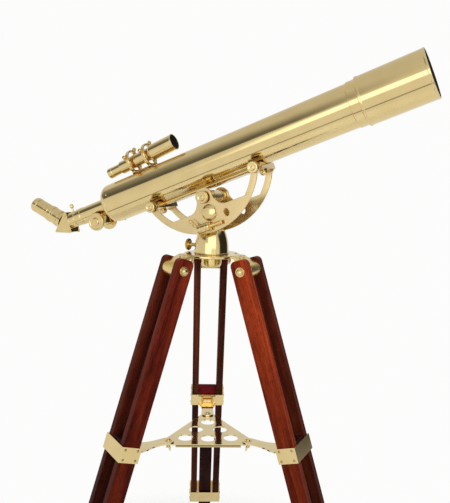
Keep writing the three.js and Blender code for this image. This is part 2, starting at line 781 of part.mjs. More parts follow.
function finderTube() {
  const middle = (FINDER_RINGS[0] + FINDER_RINGS[1]) / 2;
  const body = turned([
    [-255, 0],
    [-262, 8],
    [-262, 11],
    [-260, 12.2],
    [-250, 12.2],
    [-249, 11.6],
    [-226, 11.6],
    [-225, 14.7],
    [-141, 14.7],
    [-136, 18],
    [-77, 18],
    [-76, 18.4],
    [-75, 18],
    [-75, 16.6],
    [-105, 16.6],
    [-105, 0],
  ], "x", 28);
  body.translate(-middle, 0, 0).rotateY(-THREE.MathUtils.degToRad(FINDER_TILT));
  return body.translate(middle, 0, FINDER_HEIGHT);
}

// ---- assembly ----
const BRASS = { color: 0xcdb06a, metalness: 0.9, roughness: 0.25 };
const WOOD = { color: 0x6e2a1c, metalness: 0, roughness: 0.45 };
const GLASS = { color: 0x9fb8b0, metalness: 0, roughness: 0.05 };

function add(group, name, geometry, finish) {
  const mesh = new THREE.Mesh(geometry, new THREE.MeshStandardMaterial({ ...finish, flatShading: true }));
  mesh.name = name;
  group.add(mesh);
}

function addLeg(root, name, turn) {
  const spoke = new THREE.Group();
  spoke.rotation.z = THREE.MathUtils.degToRad(turn);
  root.add(spoke);
  const leg = new THREE.Group();
  leg.position.set(0, LEG_BOLT_RADIUS, 0);
  leg.rotation.x = THREE.MathUtils.degToRad(LEG_SPLAY);
  spoke.add(leg);
  add(leg, `${name}_left_bar`, legBar(-1), WOOD);
  add(leg, `${name}_right_bar`, legBar(1), WOOD);
  add(leg, `${name}_pivot_bolt`, legPivotBolt(), BRASS);
  add(leg, `${name}_spacer_block`, spacerBlock(), WOOD);
  add(leg, `${name}_spreader_bracket`, spreaderBracket(), BRASS);
  add(leg, `${name}_clamp_collar`, clampCollar(), BRASS);
  add(leg, `${name}_clamp_knob`, clampKnob(), BRASS);
  add(leg, `${name}_extension`, extension(), WOOD);
  const splay = THREE.MathUtils.degToRad(LEG_SPLAY);
  const hingeY = LEG_BOLT_RADIUS + HINGE_DOWN * Math.sin(splay) - HINGE_OFFSET * Math.cos(splay);
  const hingeZ = -HINGE_DOWN * Math.cos(splay) - HINGE_OFFSET * Math.sin(splay);
  const arm = new THREE.Group();
  arm.position.set(0, hingeY, hingeZ);
  spoke.add(arm);
  add(arm, `${name}_spreader_arm`, spreaderArm(hingeY - TRAY_SCREW_RADIUS), BRASS);
  const corner = new THREE.Group();
  corner.position.set(0, TRAY_SCREW_RADIUS, 0);
  spoke.add(corner);
  add(corner, `${name}_wing_screw`, wingScrew(), BRASS);
}

const telescope = new THREE.Group();
telescope.name = "brass_telescope";
add(telescope, "tripod_head", tripodHead(), BRASS);
addLeg(telescope, "rear_leg", 0);
addLeg(telescope, "right_leg", -120);
addLeg(telescope, "left_leg", 120);
add(telescope, "accessory_tray", tray(), BRASS);
add(telescope, "azimuth_pillar", azimuthPillar(), BRASS);
add(telescope, "azimuth_lock_screw", azimuthLock(), BRASS);

const azimuth = new THREE.Group();
azimuth.rotation.z = THREE.MathUtils.degToRad(-AZIMUTH);
telescope.add(azimuth);
add(azimuth, "yoke_carrier", yokeCarrier(), BRASS);

const tilt = new THREE.Group();
tilt.position.set(0, 0, PIVOT_HEIGHT);
tilt.rotation.y = THREE.MathUtils.degToRad(-ALTITUDE);
azimuth.add(tilt);
add(tilt, "yoke_plate_near", crescentPlate(-1), BRASS);
add(tilt, "yoke_plate_far", crescentPlate(1), BRASS);
add(tilt, "altitude_pivot_knob", pivotKnob(), BRASS);
add(tilt, "altitude_pivot_nut", pivotNut(), BRASS);
add(tilt, "altitude_clamp_lever", clampLever(), BRASS);
add(tilt, "tube_saddle", saddle(), BRASS);
add(tilt, "saddle_bolt_rear", saddleBolt(-1), BRASS);
add(tilt, "saddle_bolt_front", saddleBolt(1), BRASS);

const tube = new THREE.Group();
tube.position.set(AXIS_SHIFT, 0, AXIS_HEIGHT);
tilt.add(tube);
add(tube, "main_tube", mainTube(), BRASS);
add(tube, "objective_lens", objectiveLens(), GLASS);
add(tube, "dew_shield", dewShield(), BRASS);
add(tube, "focuser_body", focuserBody(), BRASS);
add(tube, "focus_knobs", focusKnobs(), BRASS);
add(tube, "drawtube", drawtube(), BRASS);
add(tube, "drawtube_lock_screw", drawtubeLock(), BRASS);
add(tube, "diagonal_prism_body", diagonalBody(), BRASS);
add(tube, "eyepiece", eyepiece(), BRASS);
add(tube, "finder_bracket", finderBracket(), BRASS);
add(tube, "finder_tube", finderTube(), BRASS);
FINDER_RINGS.forEach((at, ring) => {
  FINDER_SCREW_ANGLES.forEach((angle, i) => {
    add(tube, `finder_screw_${ring === 0 ? "rear" : "front"}_${i + 1}`, finderScrew(at, angle), BRASS);
  });
});

export default telescope;
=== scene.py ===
"""Brass refracting telescope on a mahogany tripod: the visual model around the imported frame."""

import json
import math

import bmesh
import bpy
from mathutils import Matrix, Vector
from mathutils.geometry import tessellate_polygon


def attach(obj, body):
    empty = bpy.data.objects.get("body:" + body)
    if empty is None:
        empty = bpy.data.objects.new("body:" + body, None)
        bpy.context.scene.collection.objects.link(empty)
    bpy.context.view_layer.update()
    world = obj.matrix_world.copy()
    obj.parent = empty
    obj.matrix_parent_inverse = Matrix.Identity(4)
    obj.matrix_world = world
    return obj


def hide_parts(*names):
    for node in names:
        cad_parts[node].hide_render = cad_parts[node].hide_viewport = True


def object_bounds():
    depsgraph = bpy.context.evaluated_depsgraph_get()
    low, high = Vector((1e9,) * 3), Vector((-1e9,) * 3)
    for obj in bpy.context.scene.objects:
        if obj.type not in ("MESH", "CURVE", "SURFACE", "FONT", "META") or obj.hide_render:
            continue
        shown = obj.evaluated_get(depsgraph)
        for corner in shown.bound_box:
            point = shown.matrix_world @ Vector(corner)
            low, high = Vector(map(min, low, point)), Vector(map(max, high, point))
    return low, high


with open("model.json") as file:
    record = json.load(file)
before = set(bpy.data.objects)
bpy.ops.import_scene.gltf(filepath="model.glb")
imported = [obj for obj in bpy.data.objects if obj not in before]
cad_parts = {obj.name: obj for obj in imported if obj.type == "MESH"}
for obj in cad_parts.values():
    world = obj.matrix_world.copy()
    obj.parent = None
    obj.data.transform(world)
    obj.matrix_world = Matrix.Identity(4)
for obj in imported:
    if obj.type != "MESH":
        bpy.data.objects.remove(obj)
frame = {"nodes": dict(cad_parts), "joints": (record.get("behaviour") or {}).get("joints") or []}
CAD_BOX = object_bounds()
NODES = frame["nodes"]
JOINTS = {j["name"]: j for j in frame["joints"]}
MM = 0.001
LEGS = ("rear_leg", "right_leg", "left_leg")
FAR_BARS = (("right_leg", "left"), ("left_leg", "right"))


# ---- places, all in millimetres inside their frame ----
def shifted(x, y, z):
    """A shift as a matrix."""
    return Matrix.Translation((x, y, z))


def rotated(angle, axis):
    """A turn about an axis, in degrees, as a matrix."""
    return Matrix.Rotation(math.radians(angle), 4, axis)


def place(x, y, z, origin):
    """A matrix from a local frame in millimetres to the row frame in metres."""
    columns = [Vector(x).normalized(), Vector(y).normalized(), Vector(z).normalized()]
    made = Matrix.Identity(4)
    for i, column in enumerate(columns):
        for k in range(3):
            made[k][i] = column[k] * MM
    made.translation = Vector(origin)
    return made


def axis_of(joint):
    """The joint's axis in the frame."""
    return Vector(JOINTS[joint]["axis"]).normalized()


def origin_of(joint):
    """The joint's place in the frame, in metres."""
    return Vector(JOINTS[joint]["pos_m"])


UP = Vector((0, 0, 1))
ACROSS = -axis_of("altitude")
ALONG = axis_of("dew_shield_slide")
OVER = ALONG.cross(ACROSS)
ROOT = place((1, 0, 0), (0, 1, 0), UP, (0, 0, 0))
TILT = place(ALONG, ACROSS, OVER, origin_of("altitude"))
LEVEL = ACROSS.cross(UP)
CARRIER = place(LEVEL, ACROSS, UP, (0, 0, 0))
TUBE_SHIFT = 26.4       # of the tube's origin, along the tube and over the altitude axis
TUBE_RISE = 68.6
TUBE_RADIUS = 45
TUBE_BACK = -271.5
BEND_AT = -426          # where the eyepiece's axis meets the tube's
BEND_TURN = 225
PINION_AT = (-322, 0, -29.5)
CLAMP = (-16, -56.5, -63)
RIM_BOSS = (2, 0, -35)
BOLT = (128, 20.3)      # of each saddle bolt, along and over
MOON = (0, TUBE_RISE)   # centre of the crescents' two arcs
MOON_OUTER, MOON_INNER = 145, 131
PLATE_IN, PLATE_OUT = 42, 46
DRAW_LOCK_AT = -396.5
FINDER_RISE = 72.7
FINDER_TILT = 2.7
FINDER_RINGS = (-191, -147)
HEAD_BOTTOM, HEAD_TOP = 23.5, 29.5
LEG_BOLT_AT = 90.5
BRACKET_TOP, BRACKET_BOTTOM = -378.3, -411.3
COLLAR_TOP, COLLAR_BOTTOM = -722, -757
STRAP_FACE = 42.45
WING_TOP, WING_BOTTOM = -383.1, -389.7
TUBE = TILT @ shifted(TUBE_SHIFT, 0, TUBE_RISE)
BEND = TUBE @ shifted(BEND_AT, 0, 0) @ rotated(BEND_TURN, "Y")
PINION = shifted(*PINION_AT)
WEDGE_TO_BEND = TUBE.inverted() @ BEND
FLIP = rotated(90, "X")
TRAY_SCREW_AT = 102
ARM_REACH = 1000 * origin_of("rear_arm_fold").xy.length - TRAY_SCREW_AT


def leg_place(leg):
    """The leg's frame: x across, y outwards, z up along the leg, origin on the leg bolt."""
    across = -axis_of(f"{leg}_fold")
    up = -axis_of(f"{leg.replace('_leg', '')}_extension_slide")
    return place(across, up.cross(across), up, origin_of(f"{leg}_fold"))


def spoke_place(leg, joint, level=False):
    """An upright frame on a joint of the leg: x across, y inwards, z up."""
    across = -axis_of(f"{leg}_fold")
    origin = origin_of(joint)
    if level:
        origin.z = 0
    return place(across, UP.cross(across), UP, origin)


# ---- materials ----
def feed(tree, node, values):
    """Sets inputs; values maps an input's name or index to a number, a colour or another node's socket."""
    for key, value in values.items():
        if isinstance(value, bpy.types.NodeSocket):
            tree.links.new(value, node.inputs[key])
        else:
            node.inputs[key].default_value = value


def setup(thing, **properties):
    """Sets properties of a node, a light or a modifier."""
    for key, value in properties.items():
        setattr(thing, key, value)
    return thing


def add_node(tree, kind, values=None, **properties):
    """A shader node with its inputs and properties."""
    made = setup(tree.nodes.new(kind), **properties)
    feed(tree, made, values or {})
    return made


def new_material(name):
    """A node material with its tree, its shader and the object coordinates."""
    material = bpy.data.materials.new(name)
    material.use_nodes = True
    tree = material.node_tree
    coords = add_node(tree, "ShaderNodeTexCoord").outputs["Object"]
    return material, tree, tree.nodes["Principled BSDF"], coords


def ramp(tree, factor, stops):
    """A colour ramp with (position, colour) stops."""
    made = add_node(tree, "ShaderNodeValToRGB", {0: factor})
    elements = made.color_ramp.elements
    while len(elements) < len(stops):
        elements.new(0.5)
    for element, (position, colour) in zip(elements, stops):
        element.position = position
        element.color = (*colour, 1)
    return made.outputs[0]


def axes_vector(tree, coords, axes, scales):
    """The object coordinates along three axes, each with its own scale, as one vector."""
    parts = []
    for axis, scale in zip(axes, scales):
        dot = add_node(tree, "ShaderNodeVectorMath", {0: coords, 1: tuple(axis)}, operation="DOT_PRODUCT")
        parts.append(compute(tree, "MULTIPLY", dot.outputs["Value"], scale))
    return add_node(tree, "ShaderNodeCombineXYZ", dict(enumerate(parts))).outputs[0]


def noise(tree, vector, scale, detail=3.0, roughness=0.55, distortion=0.0):
    """A noise value."""
    values = {"Vector": vector, "Scale": scale, "Detail": detail, "Roughness": roughness,
              "Distortion": distortion}
    return add_node(tree, "ShaderNodeTexNoise", values).outputs[0]


def spread(tree, value, low, high, start=0.0, end=1.0):
    """The value moved from start..end to low..high."""
    values = {"Value": value, "From Min": start, "From Max": end, "To Min": low, "To Max": high}
    return add_node(tree, "ShaderNodeMapRange", values).outputs[0]


def bump(tree, height, strength, distance, under=None):
    """A normal with the height on top of another relief."""
    values = {"Height": height, "Strength": strength, "Distance": distance}
    if under is not None:
        values["Normal"] = under
    return add_node(tree, "ShaderNodeBump", values).outputs[0]


def compute(tree, operation, a, b):
    """The result of one sum or product of numbers."""
    return add_node(tree, "ShaderNodeMath", {0: a, 1: b}, operation=operation).outputs[0]


def multiply(tree, a, b):
    """The product of two colours."""
    values = {0: 1.0, 6: a, 7: b}
    return add_node(tree, "ShaderNodeMix", values, data_type="RGBA", blend_type="MULTIPLY").outputs[2]


def brass(name, colour=(0.80, 0.635, 0.315), shade=(0.66, 0.47, 0.19), rough=(0.07, 0.15), wave=0.05,
          axes=None, brushed=0.0):
    """Polished brass: two tones, cloudy polish, painted shade darkening it in corners and recesses, fine
    marks along the brushing axis and slow waves.
    """
    material, tree, shader, coords = new_material(name)
    axes = axes or ((1, 0, 0), (0, 1, 0), (0, 0, 1))
    cloudy = noise(tree, coords, 24.0, 4.0)
    marks = noise(tree, axes_vector(tree, coords, axes, (40.0, 1100.0, 1100.0)), 1.0, 2.0)
    slow = noise(tree, coords, 11.0, 1.0)
    tone = ramp(tree, cloudy, [(0.36, shade), (0.58, colour)])
    # Painted shade: an occlusion test darkens the colour towards brown in corners and recesses.
    close = add_node(tree, "ShaderNodeAmbientOcclusion", {"Distance": 0.012}, samples=4)
    corners = ramp(tree, close.outputs["AO"], [(0.10, (0.66, 0.43, 0.20)), (0.60, (1.0, 1.0, 1.0))])
    tone = add_node(tree, "ShaderNodeMix", {0: 0.22, 6: colour + (1,), 7: tone},
                    data_type="RGBA").outputs[2]
    tone = multiply(tree, tone, corners)
    smear = spread(tree, cloudy, rough[0], rough[1], 0.3, 0.7)
    rough_marks = spread(tree, marks, 0.0, 0.02 + brushed)
    smear = compute(tree, "ADD", smear, rough_marks)
    relief = bump(tree, slow, wave, 0.004)
    relief = bump(tree, marks, 0.0015 + 0.25 * brushed, 0.0004, relief)
    feed(tree, shader, {"Base Color": tone, "Roughness": smear, "Normal": relief, "Metallic": 1.0})
    return material


def wood(name, leg, dark, mid, light):
    """Varnished mahogany with its grain along the leg: bands, streaks, ribbon figure, open pores and painted
    shade that darkens it lower down.
    """
    material, tree, shader, coords = new_material(name)
    matrix = leg_place(leg).to_3x3()
    axes = [matrix.col[i].normalized() for i in (2, 0, 1)]
    long_vector = axes_vector(tree, coords, axes, (2.2, 36.0, 30.0))
    bands = noise(tree, long_vector, 1.0, 4.0, 0.6, 1.2)
    streaks = noise(tree, axes_vector(tree, coords, axes, (7.0, 420.0, 420.0)), 1.0, 4.0, 0.6)
    ribbon = noise(tree, axes_vector(tree, coords, axes, (26.0, 60.0, 60.0)), 1.0, 2.0)
    pores = noise(tree, axes_vector(tree, coords, axes, (70.0, 1500.0, 1500.0)), 1.0, 2.0, 0.5)
    grain = bands
    for part, amount in ((streaks, 0.20), (ribbon, 0.10)):
        grain = compute(tree, "ADD", grain, spread(tree, part, -amount, amount))
    tone = ramp(tree, grain, [(0.28, dark), (0.47, mid), (0.70, light)])
    holes = ramp(tree, pores, [(0.34, (0.35, 0.30, 0.28)), (0.44, (1.0, 1.0, 1.0))])
    tone = multiply(tree, tone, holes)
    # Painted shade: the colour darkens lower down, to about half at z = -0.42 m.
    height = add_node(tree, "ShaderNodeSeparateXYZ", {0: coords}).outputs["Z"]
    painted_low_shade = spread(tree, height, 0.52, 1.0, -0.42, -0.08)
    tone = add_node(tree, "ShaderNodeVectorMath", {0: tone, "Scale": painted_low_shade}, operation="SCALE").outputs[0]
    relief = bump(tree, pores, 0.10, 0.0004)
    relief = bump(tree, streaks, 0.06, 0.0006, relief)
    rough = spread(tree, streaks, 0.30, 0.48)
    feed(tree, shader, {
        "Base Color": tone, "Normal": relief, "Roughness": rough,
        "Specular Tint": (0.45, 0.25, 0.20, 1), "Specular IOR Level": 0.05,
        "Coat Normal": bump(tree, bands, 0.05, 0.002), "Coat Weight": 0.02, "Coat Roughness": 0.14,
    })
    return material


def mix_surface(tree, share, shader, other):
    """The surface goes from the shader to another one as the share rises."""
    mixed = add_node(tree, "ShaderNodeMixShader", {0: share, 1: shader.outputs[0], 2: other}).outputs[0]
    tree.links.new(mixed, tree.nodes["Material Output"].inputs["Surface"])


def blackened():
    """Matt black paint. Glossy rays see it as a glowing brass colour, a painted reflection, as the openings
    hardly show in other brass.
    """
    material, tree, shader, coords = new_material("optical_black")
    grit = noise(tree, coords, 900.0, 3.0)
    tone = ramp(tree, grit, [(0.3, (0.004, 0.004, 0.005)), (0.7, (0.012, 0.011, 0.011))])
    feed(tree, shader, {"Base Color": tone, "Normal": bump(tree, grit, 0.2, 0.0004), "Roughness": 0.75,
                        "Specular IOR Level": 0.25})
    # Painted reflection: glossy rays see a glowing brass colour in place of the black.
    mirrored = add_node(tree, "ShaderNodeLightPath").outputs["Is Glossy Ray"]
    painted_reflection_glow = add_node(tree, "ShaderNodeEmission", {"Color": (0.40, 0.31, 0.16, 1)}).outputs[0]
    mix_surface(tree, mirrored, shader, painted_reflection_glow)
    return material


def lens_glass():
    """Coated glass over a dark interior: deep tone, tinted coat and a faint cleaning haze."""
    material, tree, shader, coords = new_material("coated_glass")
    haze = noise(tree, coords, 45.0, 4.0)
    tone = ramp(tree, haze, [(0.3, (0.010, 0.020, 0.024)), (0.7, (0.022, 0.036, 0.040))])
    feed(tree, shader, {"Base Color": tone, "Roughness": spread(tree, haze, 0.02, 0.07), "Coat Weight": 1.0,
                        "Coat Roughness": 0.02, "Coat Tint": (0.55, 0.85, 0.80, 1)})
    return material


BRASS = brass("polished_brass")
TUBE_BRASS = brass("polished_tube_brass", rough=(0.06, 0.11), wave=0.05, axes=(ALONG, ACROSS, OVER))
PLATE_BRASS = brass("satin_plate_brass", colour=(0.71, 0.565, 0.295), shade=(0.60, 0.44, 0.19),
                    rough=(0.16, 0.26), wave=0.02, axes=(LEVEL, ACROSS, UP), brushed=0.04)
TRAY_BRASS = brass("mirror_tray_brass", colour=(0.86, 0.72, 0.43), shade=(0.74, 0.57, 0.28),
                   rough=(0.04, 0.09), wave=0.03)
DEEP_BRASS = brass("worn_knob_brass", colour=(0.78, 0.56, 0.22), shade=(0.58, 0.36, 0.11),
                   rough=(0.10, 0.20))
HUB_BRASS = brass("satin_hub_brass", colour=(0.84, 0.66, 0.26), shade=(0.72, 0.52, 0.16),
                  rough=(0.20, 0.30), wave=0.02)
# Painted shade: a dark olive brass for the tray's lips and the leg bracket screws.
PAINTED_SHADE_BRASS = brass("shaded_lip_brass", colour=(0.46, 0.38, 0.19), shade=(0.34, 0.27, 0.12),
                  rough=(0.18, 0.28))
# Painted shadow: the dark brown inside the screw slots.
SLOT_SHADOW = brass("screw_slot_shadow", colour=(0.10, 0.07, 0.04), shade=(0.05, 0.035, 0.02),
                   rough=(0.4, 0.6))
BLACK = blackened()
GLASS = lens_glass()
# Painted light in each leg's tones: the right leg is painted lit and brighter, the left and rear legs are
# painted in shade and darker.
LEG_TONES_WITH_PAINTED_LIGHT = {
    "rear_leg": ((0.026, 0.008, 0.005), (0.085, 0.020, 0.010), (0.16, 0.040, 0.018)),
    "right_leg": ((0.045, 0.006, 0.003), (0.20, 0.024, 0.008), (0.40, 0.055, 0.014)),
    "left_leg": ((0.028, 0.004, 0.003), (0.115, 0.013, 0.006), (0.24, 0.030, 0.010)),
}
# Painted shade: near-black tones for the leg extensions and the spacer blocks of the side legs.
PAINTED_SHADE_TONE = ((0.014, 0.004, 0.004), (0.036, 0.010, 0.010), (0.070, 0.018, 0.016))
RED_TONE = ((0.10, 0.004, 0.006), (0.26, 0.008, 0.014), (0.38, 0.014, 0.022))
# Painted shade for the back bars of the side legs.
SHADED_TONE = ((0.020, 0.004, 0.003), (0.075, 0.012, 0.006), (0.15, 0.025, 0.010))
WOODS = {leg: wood(f"mahogany_{leg}", leg, *LEG_TONES_WITH_PAINTED_LIGHT[leg]) for leg in LEGS}
SHADED_FAR_WOODS = {leg: wood(f"shaded_mahogany_{leg}", leg, *SHADED_TONE) for leg in LEGS}
PAINTED_SHADE_WOODS = {leg: wood(f"painted_shade_mahogany_{leg}", leg, *PAINTED_SHADE_TONE) for leg in LEGS}
RED_WOODS = {**PAINTED_SHADE_WOODS, "rear_leg": wood("red_mahogany_rear_leg", "rear_leg", *RED_TONE)}


# ---- profiles and outlines ----
def soften(points, radius, closed=False, steps=3):
    """The polyline with each clear corner rounded; points are pairs."""
    points = [Vector(p) for p in points]
    count = len(points)
    out = []
    for i, p in enumerate(points):
        if not closed and i in (0, count - 1):
            out.append(p)
            continue
        a = points[i - 1] - p
        b = points[(i + 1) % count] - p
        if a.length < 1e-6 or b.length < 1e-6:
            continue
        if math.pi - a.angle(b) < 0.28:
            out.append(p)
            continue
        reach = min(radius, 0.45 * a.length, 0.45 * b.length)
        start = p + a.normalized() * reach
        end = p + b.normalized() * reach
        for k in range(steps + 1):
            s = k / steps
            out.append(start * (1 - s) ** 2 + p * 2 * s * (1 - s) + end * s * s)
    return out


def arc(cx, cy, radius, start, end, step=4.0, ry=None):
    """Points on an arc, angles in degrees."""
    count = max(2, int(abs(end - start) / step) + 1)
    ry = radius if ry is None else ry
    angles = [math.radians(start + (end - start) * i / (count - 1)) for i in range(count)]
    return [(cx + radius * math.cos(a), cy + ry * math.sin(a)) for a in angles]


def polar(radius, angle):
    """A point at an angle in degrees."""
    angle = math.radians(angle)
    return radius * math.cos(angle), radius * math.sin(angle)


def ring(cx, cy, radius, ry=None, count=40):
    """A closed loop of points."""
    ry = radius if ry is None else ry
    return [(cx + radius * math.cos(2 * math.pi * i / count),
             cy + ry * math.sin(2 * math.pi * i / count)) for i in range(count)]


def signed_area(loop):
    """The area inside a closed loop, negative when it runs clockwise."""
    return sum(a[0] * b[1] - b[0] * a[1] for a, b in zip(loop, loop[1:] + loop[:1])) / 2


def inset(loop, distance):
    """The loop moved towards its left side, which is the inside of the material."""
    out = []
    count = len(loop)
    for i in range(count):
        a, p, b = (Vector(loop[(i + k) % count]) for k in (-1, 0, 1))
        u = (p - a).normalized()
        v = (b - p).normalized()
        left = Vector((-u.y - v.y, u.x + v.x))
        if left.length < 1e-6:
            left = Vector((-u.y, u.x))
        left.normalize()
        lean = max(0.5, left.dot(Vector((-u.y, u.x))))
        out.append(tuple(p + left * (distance / lean)))
    return out


AXES = {
    "x": Matrix(((0, 0, 1), (1, 0, 0), (0, 1, 0))).to_4x4(),
    "y": Matrix(((0, 1, 0), (0, 0, 1), (1, 0, 0))).to_4x4(),
    "z": Matrix.Identity(4),
}


def add_object(name, data):
    """A new object in the scene."""
    made = bpy.data.objects.new(name, data)
    bpy.context.scene.collection.objects.link(made)
    return made


class Piece:
    """One visible piece: shapes are added in millimetres in its own frame, then done() makes the object."""

    def __init__(self, name, body, where, materials=None, slot="polished_brass"):
        self.name, self.body, self.where, self.slot = name, body, where, slot
        self.materials = materials or [BRASS]
        self.bm = bmesh.new()

    def _close(self, faces, at, finish):
        verts = list({v for f in faces for v in f.verts})
        bmesh.ops.recalc_face_normals(self.bm, faces=faces)
        for v in verts:
            v.co = at @ v.co
        for f in faces:
            f.smooth = True
            f.material_index = finish

    def turned(self, profile, axis="x", at=None, segments=72, round_off=0.4, knurl=None, finish=0,
               inside=None):
        """A turned shape from (along, radius) pairs. knurl is (count, depth, start, end, radius);
        inside tests (x, r), the middle of a face, for the second finish."""
        closed = tuple(profile[0]) == tuple(profile[-1]) and profile[0][1] > 0
        points = soften(profile[:-1] if closed else profile, round_off, closed)
        rings = []
        for along, radius in points:
            if radius < 1e-6:
                rings.append([self.bm.verts.new((0, 0, along))])
                continue
            row = []
            for i in range(segments):
                angle = 2 * math.pi * i / segments
                r = radius
                if knurl and knurl[2] <= along <= knurl[3] and radius > knurl[4]:
                    r -= knurl[1] * (0.5 + 0.5 * math.cos(knurl[0] * angle))
                row.append(self.bm.verts.new((r * math.cos(angle), r * math.sin(angle), along)))
            rings.append(row)
        faces = []
        marked = []
        pairs = list(zip(range(len(rings)), range(1, len(rings))))
        if closed:
            pairs.append((len(rings) - 1, 0))
        for i, j in pairs:
            a, b = rings[i], rings[j]
            if len(a) == 1 and len(b) == 1:
                continue
            made = []
            for k in range(segments):
                n = (k + 1) % segments
                if len(a) == 1:
                    made.append(self.bm.faces.new((a[0], b[k], b[n])))
                elif len(b) == 1:
                    made.append(self.bm.faces.new((a[k], b[0], a[n])))
                else:
                    made.append(self.bm.faces.new((a[k], b[k], b[n], a[n])))
            faces += made
            if inside and inside((points[i][0] + points[j][0]) / 2, (points[i][1] + points[j][1]) / 2):
                marked += made
        self._close(faces, (at or Matrix.Identity(4)) @ AXES[axis], finish)
        for f in marked:
            f.material_index = 1
        return self

    def slab(self, outline, holes, low, high, axis="z", at=None, edge=0.4, finish=0):
        """A flat part from a closed outline and holes, spread along an axis, with rounded edges."""
        loops = []
        for i, loop in enumerate([outline, *holes]):
            loop = [tuple(p) for p in loop]
            if (signed_area(loop) > 0) == (i > 0):
                loop = loop[::-1]
            loops.append(loop)
        levels = [(low, edge), (low + 0.3 * edge, 0.3 * edge), (low + edge, 0.0)]
        levels += [(high - edge, 0.0), (high - 0.3 * edge, 0.3 * edge), (high, edge)]
        rows = [[[self.bm.verts.new((x, y, z)) for x, y in inset(loop, inner)]
                 for z, inner in levels] for loop in loops]
        faces = []
        for loop_rows in rows:
            for a, b in zip(loop_rows, loop_rows[1:]):
                for k in range(len(a)):
                    n = (k + 1) % len(a)
                    faces.append(self.bm.faces.new((a[k], a[n], b[n], b[k])))
        for level in (0, -1):
            flat = [[v.co.xy.to_3d() for v in loop_rows[level]] for loop_rows in rows]
            verts = [v for loop_rows in rows for v in loop_rows[level]]
            for a, b, c in tessellate_polygon(flat):
                faces.append(self.bm.faces.new((verts[a], verts[b], verts[c])))
        self._close(faces, (at or Matrix.Identity(4)) @ AXES[axis], finish)
        return self

    def block(self, low, high, edge=0.6, at=None, finish=0):
        """A box with rounded edges."""
        (x0, y0, z0), (x1, y1, z1) = low, high
        corners = [(x0, y0), (x1, y0), (x1, y1), (x0, y1)]
        return self.slab(soften(corners, edge * 1.6, True), [], z0, z1, "z", at, edge, finish)

    def screw(self, at, radius=2.6, height=1.2, turn=0.4):
        """A slotted screw head standing on the z = 0 face of its place."""
        dome = [(-0.4, 0), (-0.4, radius), (0.2, radius), (height * 0.7, radius * 0.75),
                (height, radius * 0.3), (height, 0)]
        self.turned(dome, "z", at, 20, 0.25)
        # The slot takes the piece's last material, the painted slot shadow where the piece lists it.
        slot = at @ Matrix.Rotation(turn, 4, "Z")
        return self.block((-radius * 0.8, -0.3, height * 0.55), (radius * 0.8, 0.3, height + 0.06), 0.08,
                          slot, len(self.materials) - 1)

    def done(self, *replaced):
        mesh = bpy.data.meshes.new(self.name)
        self.bm.to_mesh(mesh)
        self.bm.free()
        mesh.transform(self.where)
        for material in self.materials:
            mesh.materials.append(material)
        made = add_object(self.name, mesh)
        weigh_normals(made)
        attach(made, self.body)
        if replaced:
            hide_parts(*replaced)
        return made


def weigh_normals(made):
    """Flat faces stay flat beside their rounded edges."""
    setup(made.modifiers.new("weigh_normals", "WEIGHTED_NORMAL"), mode="FACE_AREA", keep_sharp=True)


# rise as a share of a knob's thickness and radius as a share of its radius
KNOB_SHAPE = ((0, 0.55), (0.25, 0.6), (0.35, 0.97), (0.45, 1), (0.9, 1), (1, 0.9), (1, 0.62), (0.9, 0.5),
              (0.9, 0.22), (1, 0.16), (1, 0))


def knob(piece, face, way, radius, thickness, shank, shank_from, axis, at=None, count=30, finish=0):
    """A turned knob with a grooved rim, a dished face and a small boss, growing from face the given way."""
    profile = [(shank_from, 0), (shank_from, shank), (face, shank)]
    profile += [(face + way * thickness * rise, radius * r) for rise, r in KNOB_SHAPE]
    ends = sorted((face + way * thickness * 0.40, face + way * thickness * 0.93))
    knurl = (count, radius * 0.055, ends[0], ends[1], radius * 0.96)
    return piece.turned(profile, axis, at, count * 4, 0.5, knurl, finish)


# ---- optical tube ----
def turned_about(x, angle, radius):
    """A place on the side of a tube along x: z points out, angle 0 is on top and 90 on the near side."""
    turn = rotated(angle, "X")
    return shifted(x, 0, 0) @ turn @ shifted(0, 0, radius)


def main_tube():
    """The main tube, the objective with its retaining ring, and the dew shield."""
    skin = Piece("main_tube_skin", "telescope", TUBE, [TUBE_BRASS, BLACK])
    skin.turned([
        (TUBE_BACK, 43), (TUBE_BACK, TUBE_RADIUS), (321, TUBE_RADIUS), (321.6, 46.8), (371, 46.8),
        (371, 43), (336, 43), (336, 40), (330, 40), (330, 43), (TUBE_BACK, 43),
    ], segments=144, inside=lambda x, r: r < 44.5)
    skin.done("main_tube")
    cell = Piece("objective_doublet", "telescope", TUBE, [GLASS, BLACK], "glass")
    bulge = [(347.8 - 11.5 * (r / 42.3) ** 2 * 0.4, r) for r in range(0, 43, 6)]
    back = [(333 + 3.2 * (r / 42.0) ** 2, r) for r in range(36, -1, -6)]
    cell.turned([*bulge, (343.2, 42.3), (336.4, 42.3), *back], round_off=0.2)
    cell.done("objective_lens")
    retainer = Piece("objective_retaining_ring", "telescope", TUBE, [BLACK], "polished_brass")
    retainer.turned([(345, 40), (345, 42.8), (350, 42.8), (350, 41), (347, 40), (345, 40)], segments=96)
    retainer.done()
    shield = Piece("dew_shield_skin", "dew_shield", TUBE, [TUBE_BRASS, BLACK])
    shield.turned([
        (340, 47.2), (340, 50.0), (340.8, 50.6), (343.4, 50.6), (344.4, 49.9), (345.2, 49.5),
        (470.6, 49.5), (471.4, 50.0), (474.6, 50.0), (475.5, 49.4), (475.5, 47.2), (340, 47.2),
    ], segments=144, inside=lambda x, r: r < 48)
    shield.done("dew_shield")


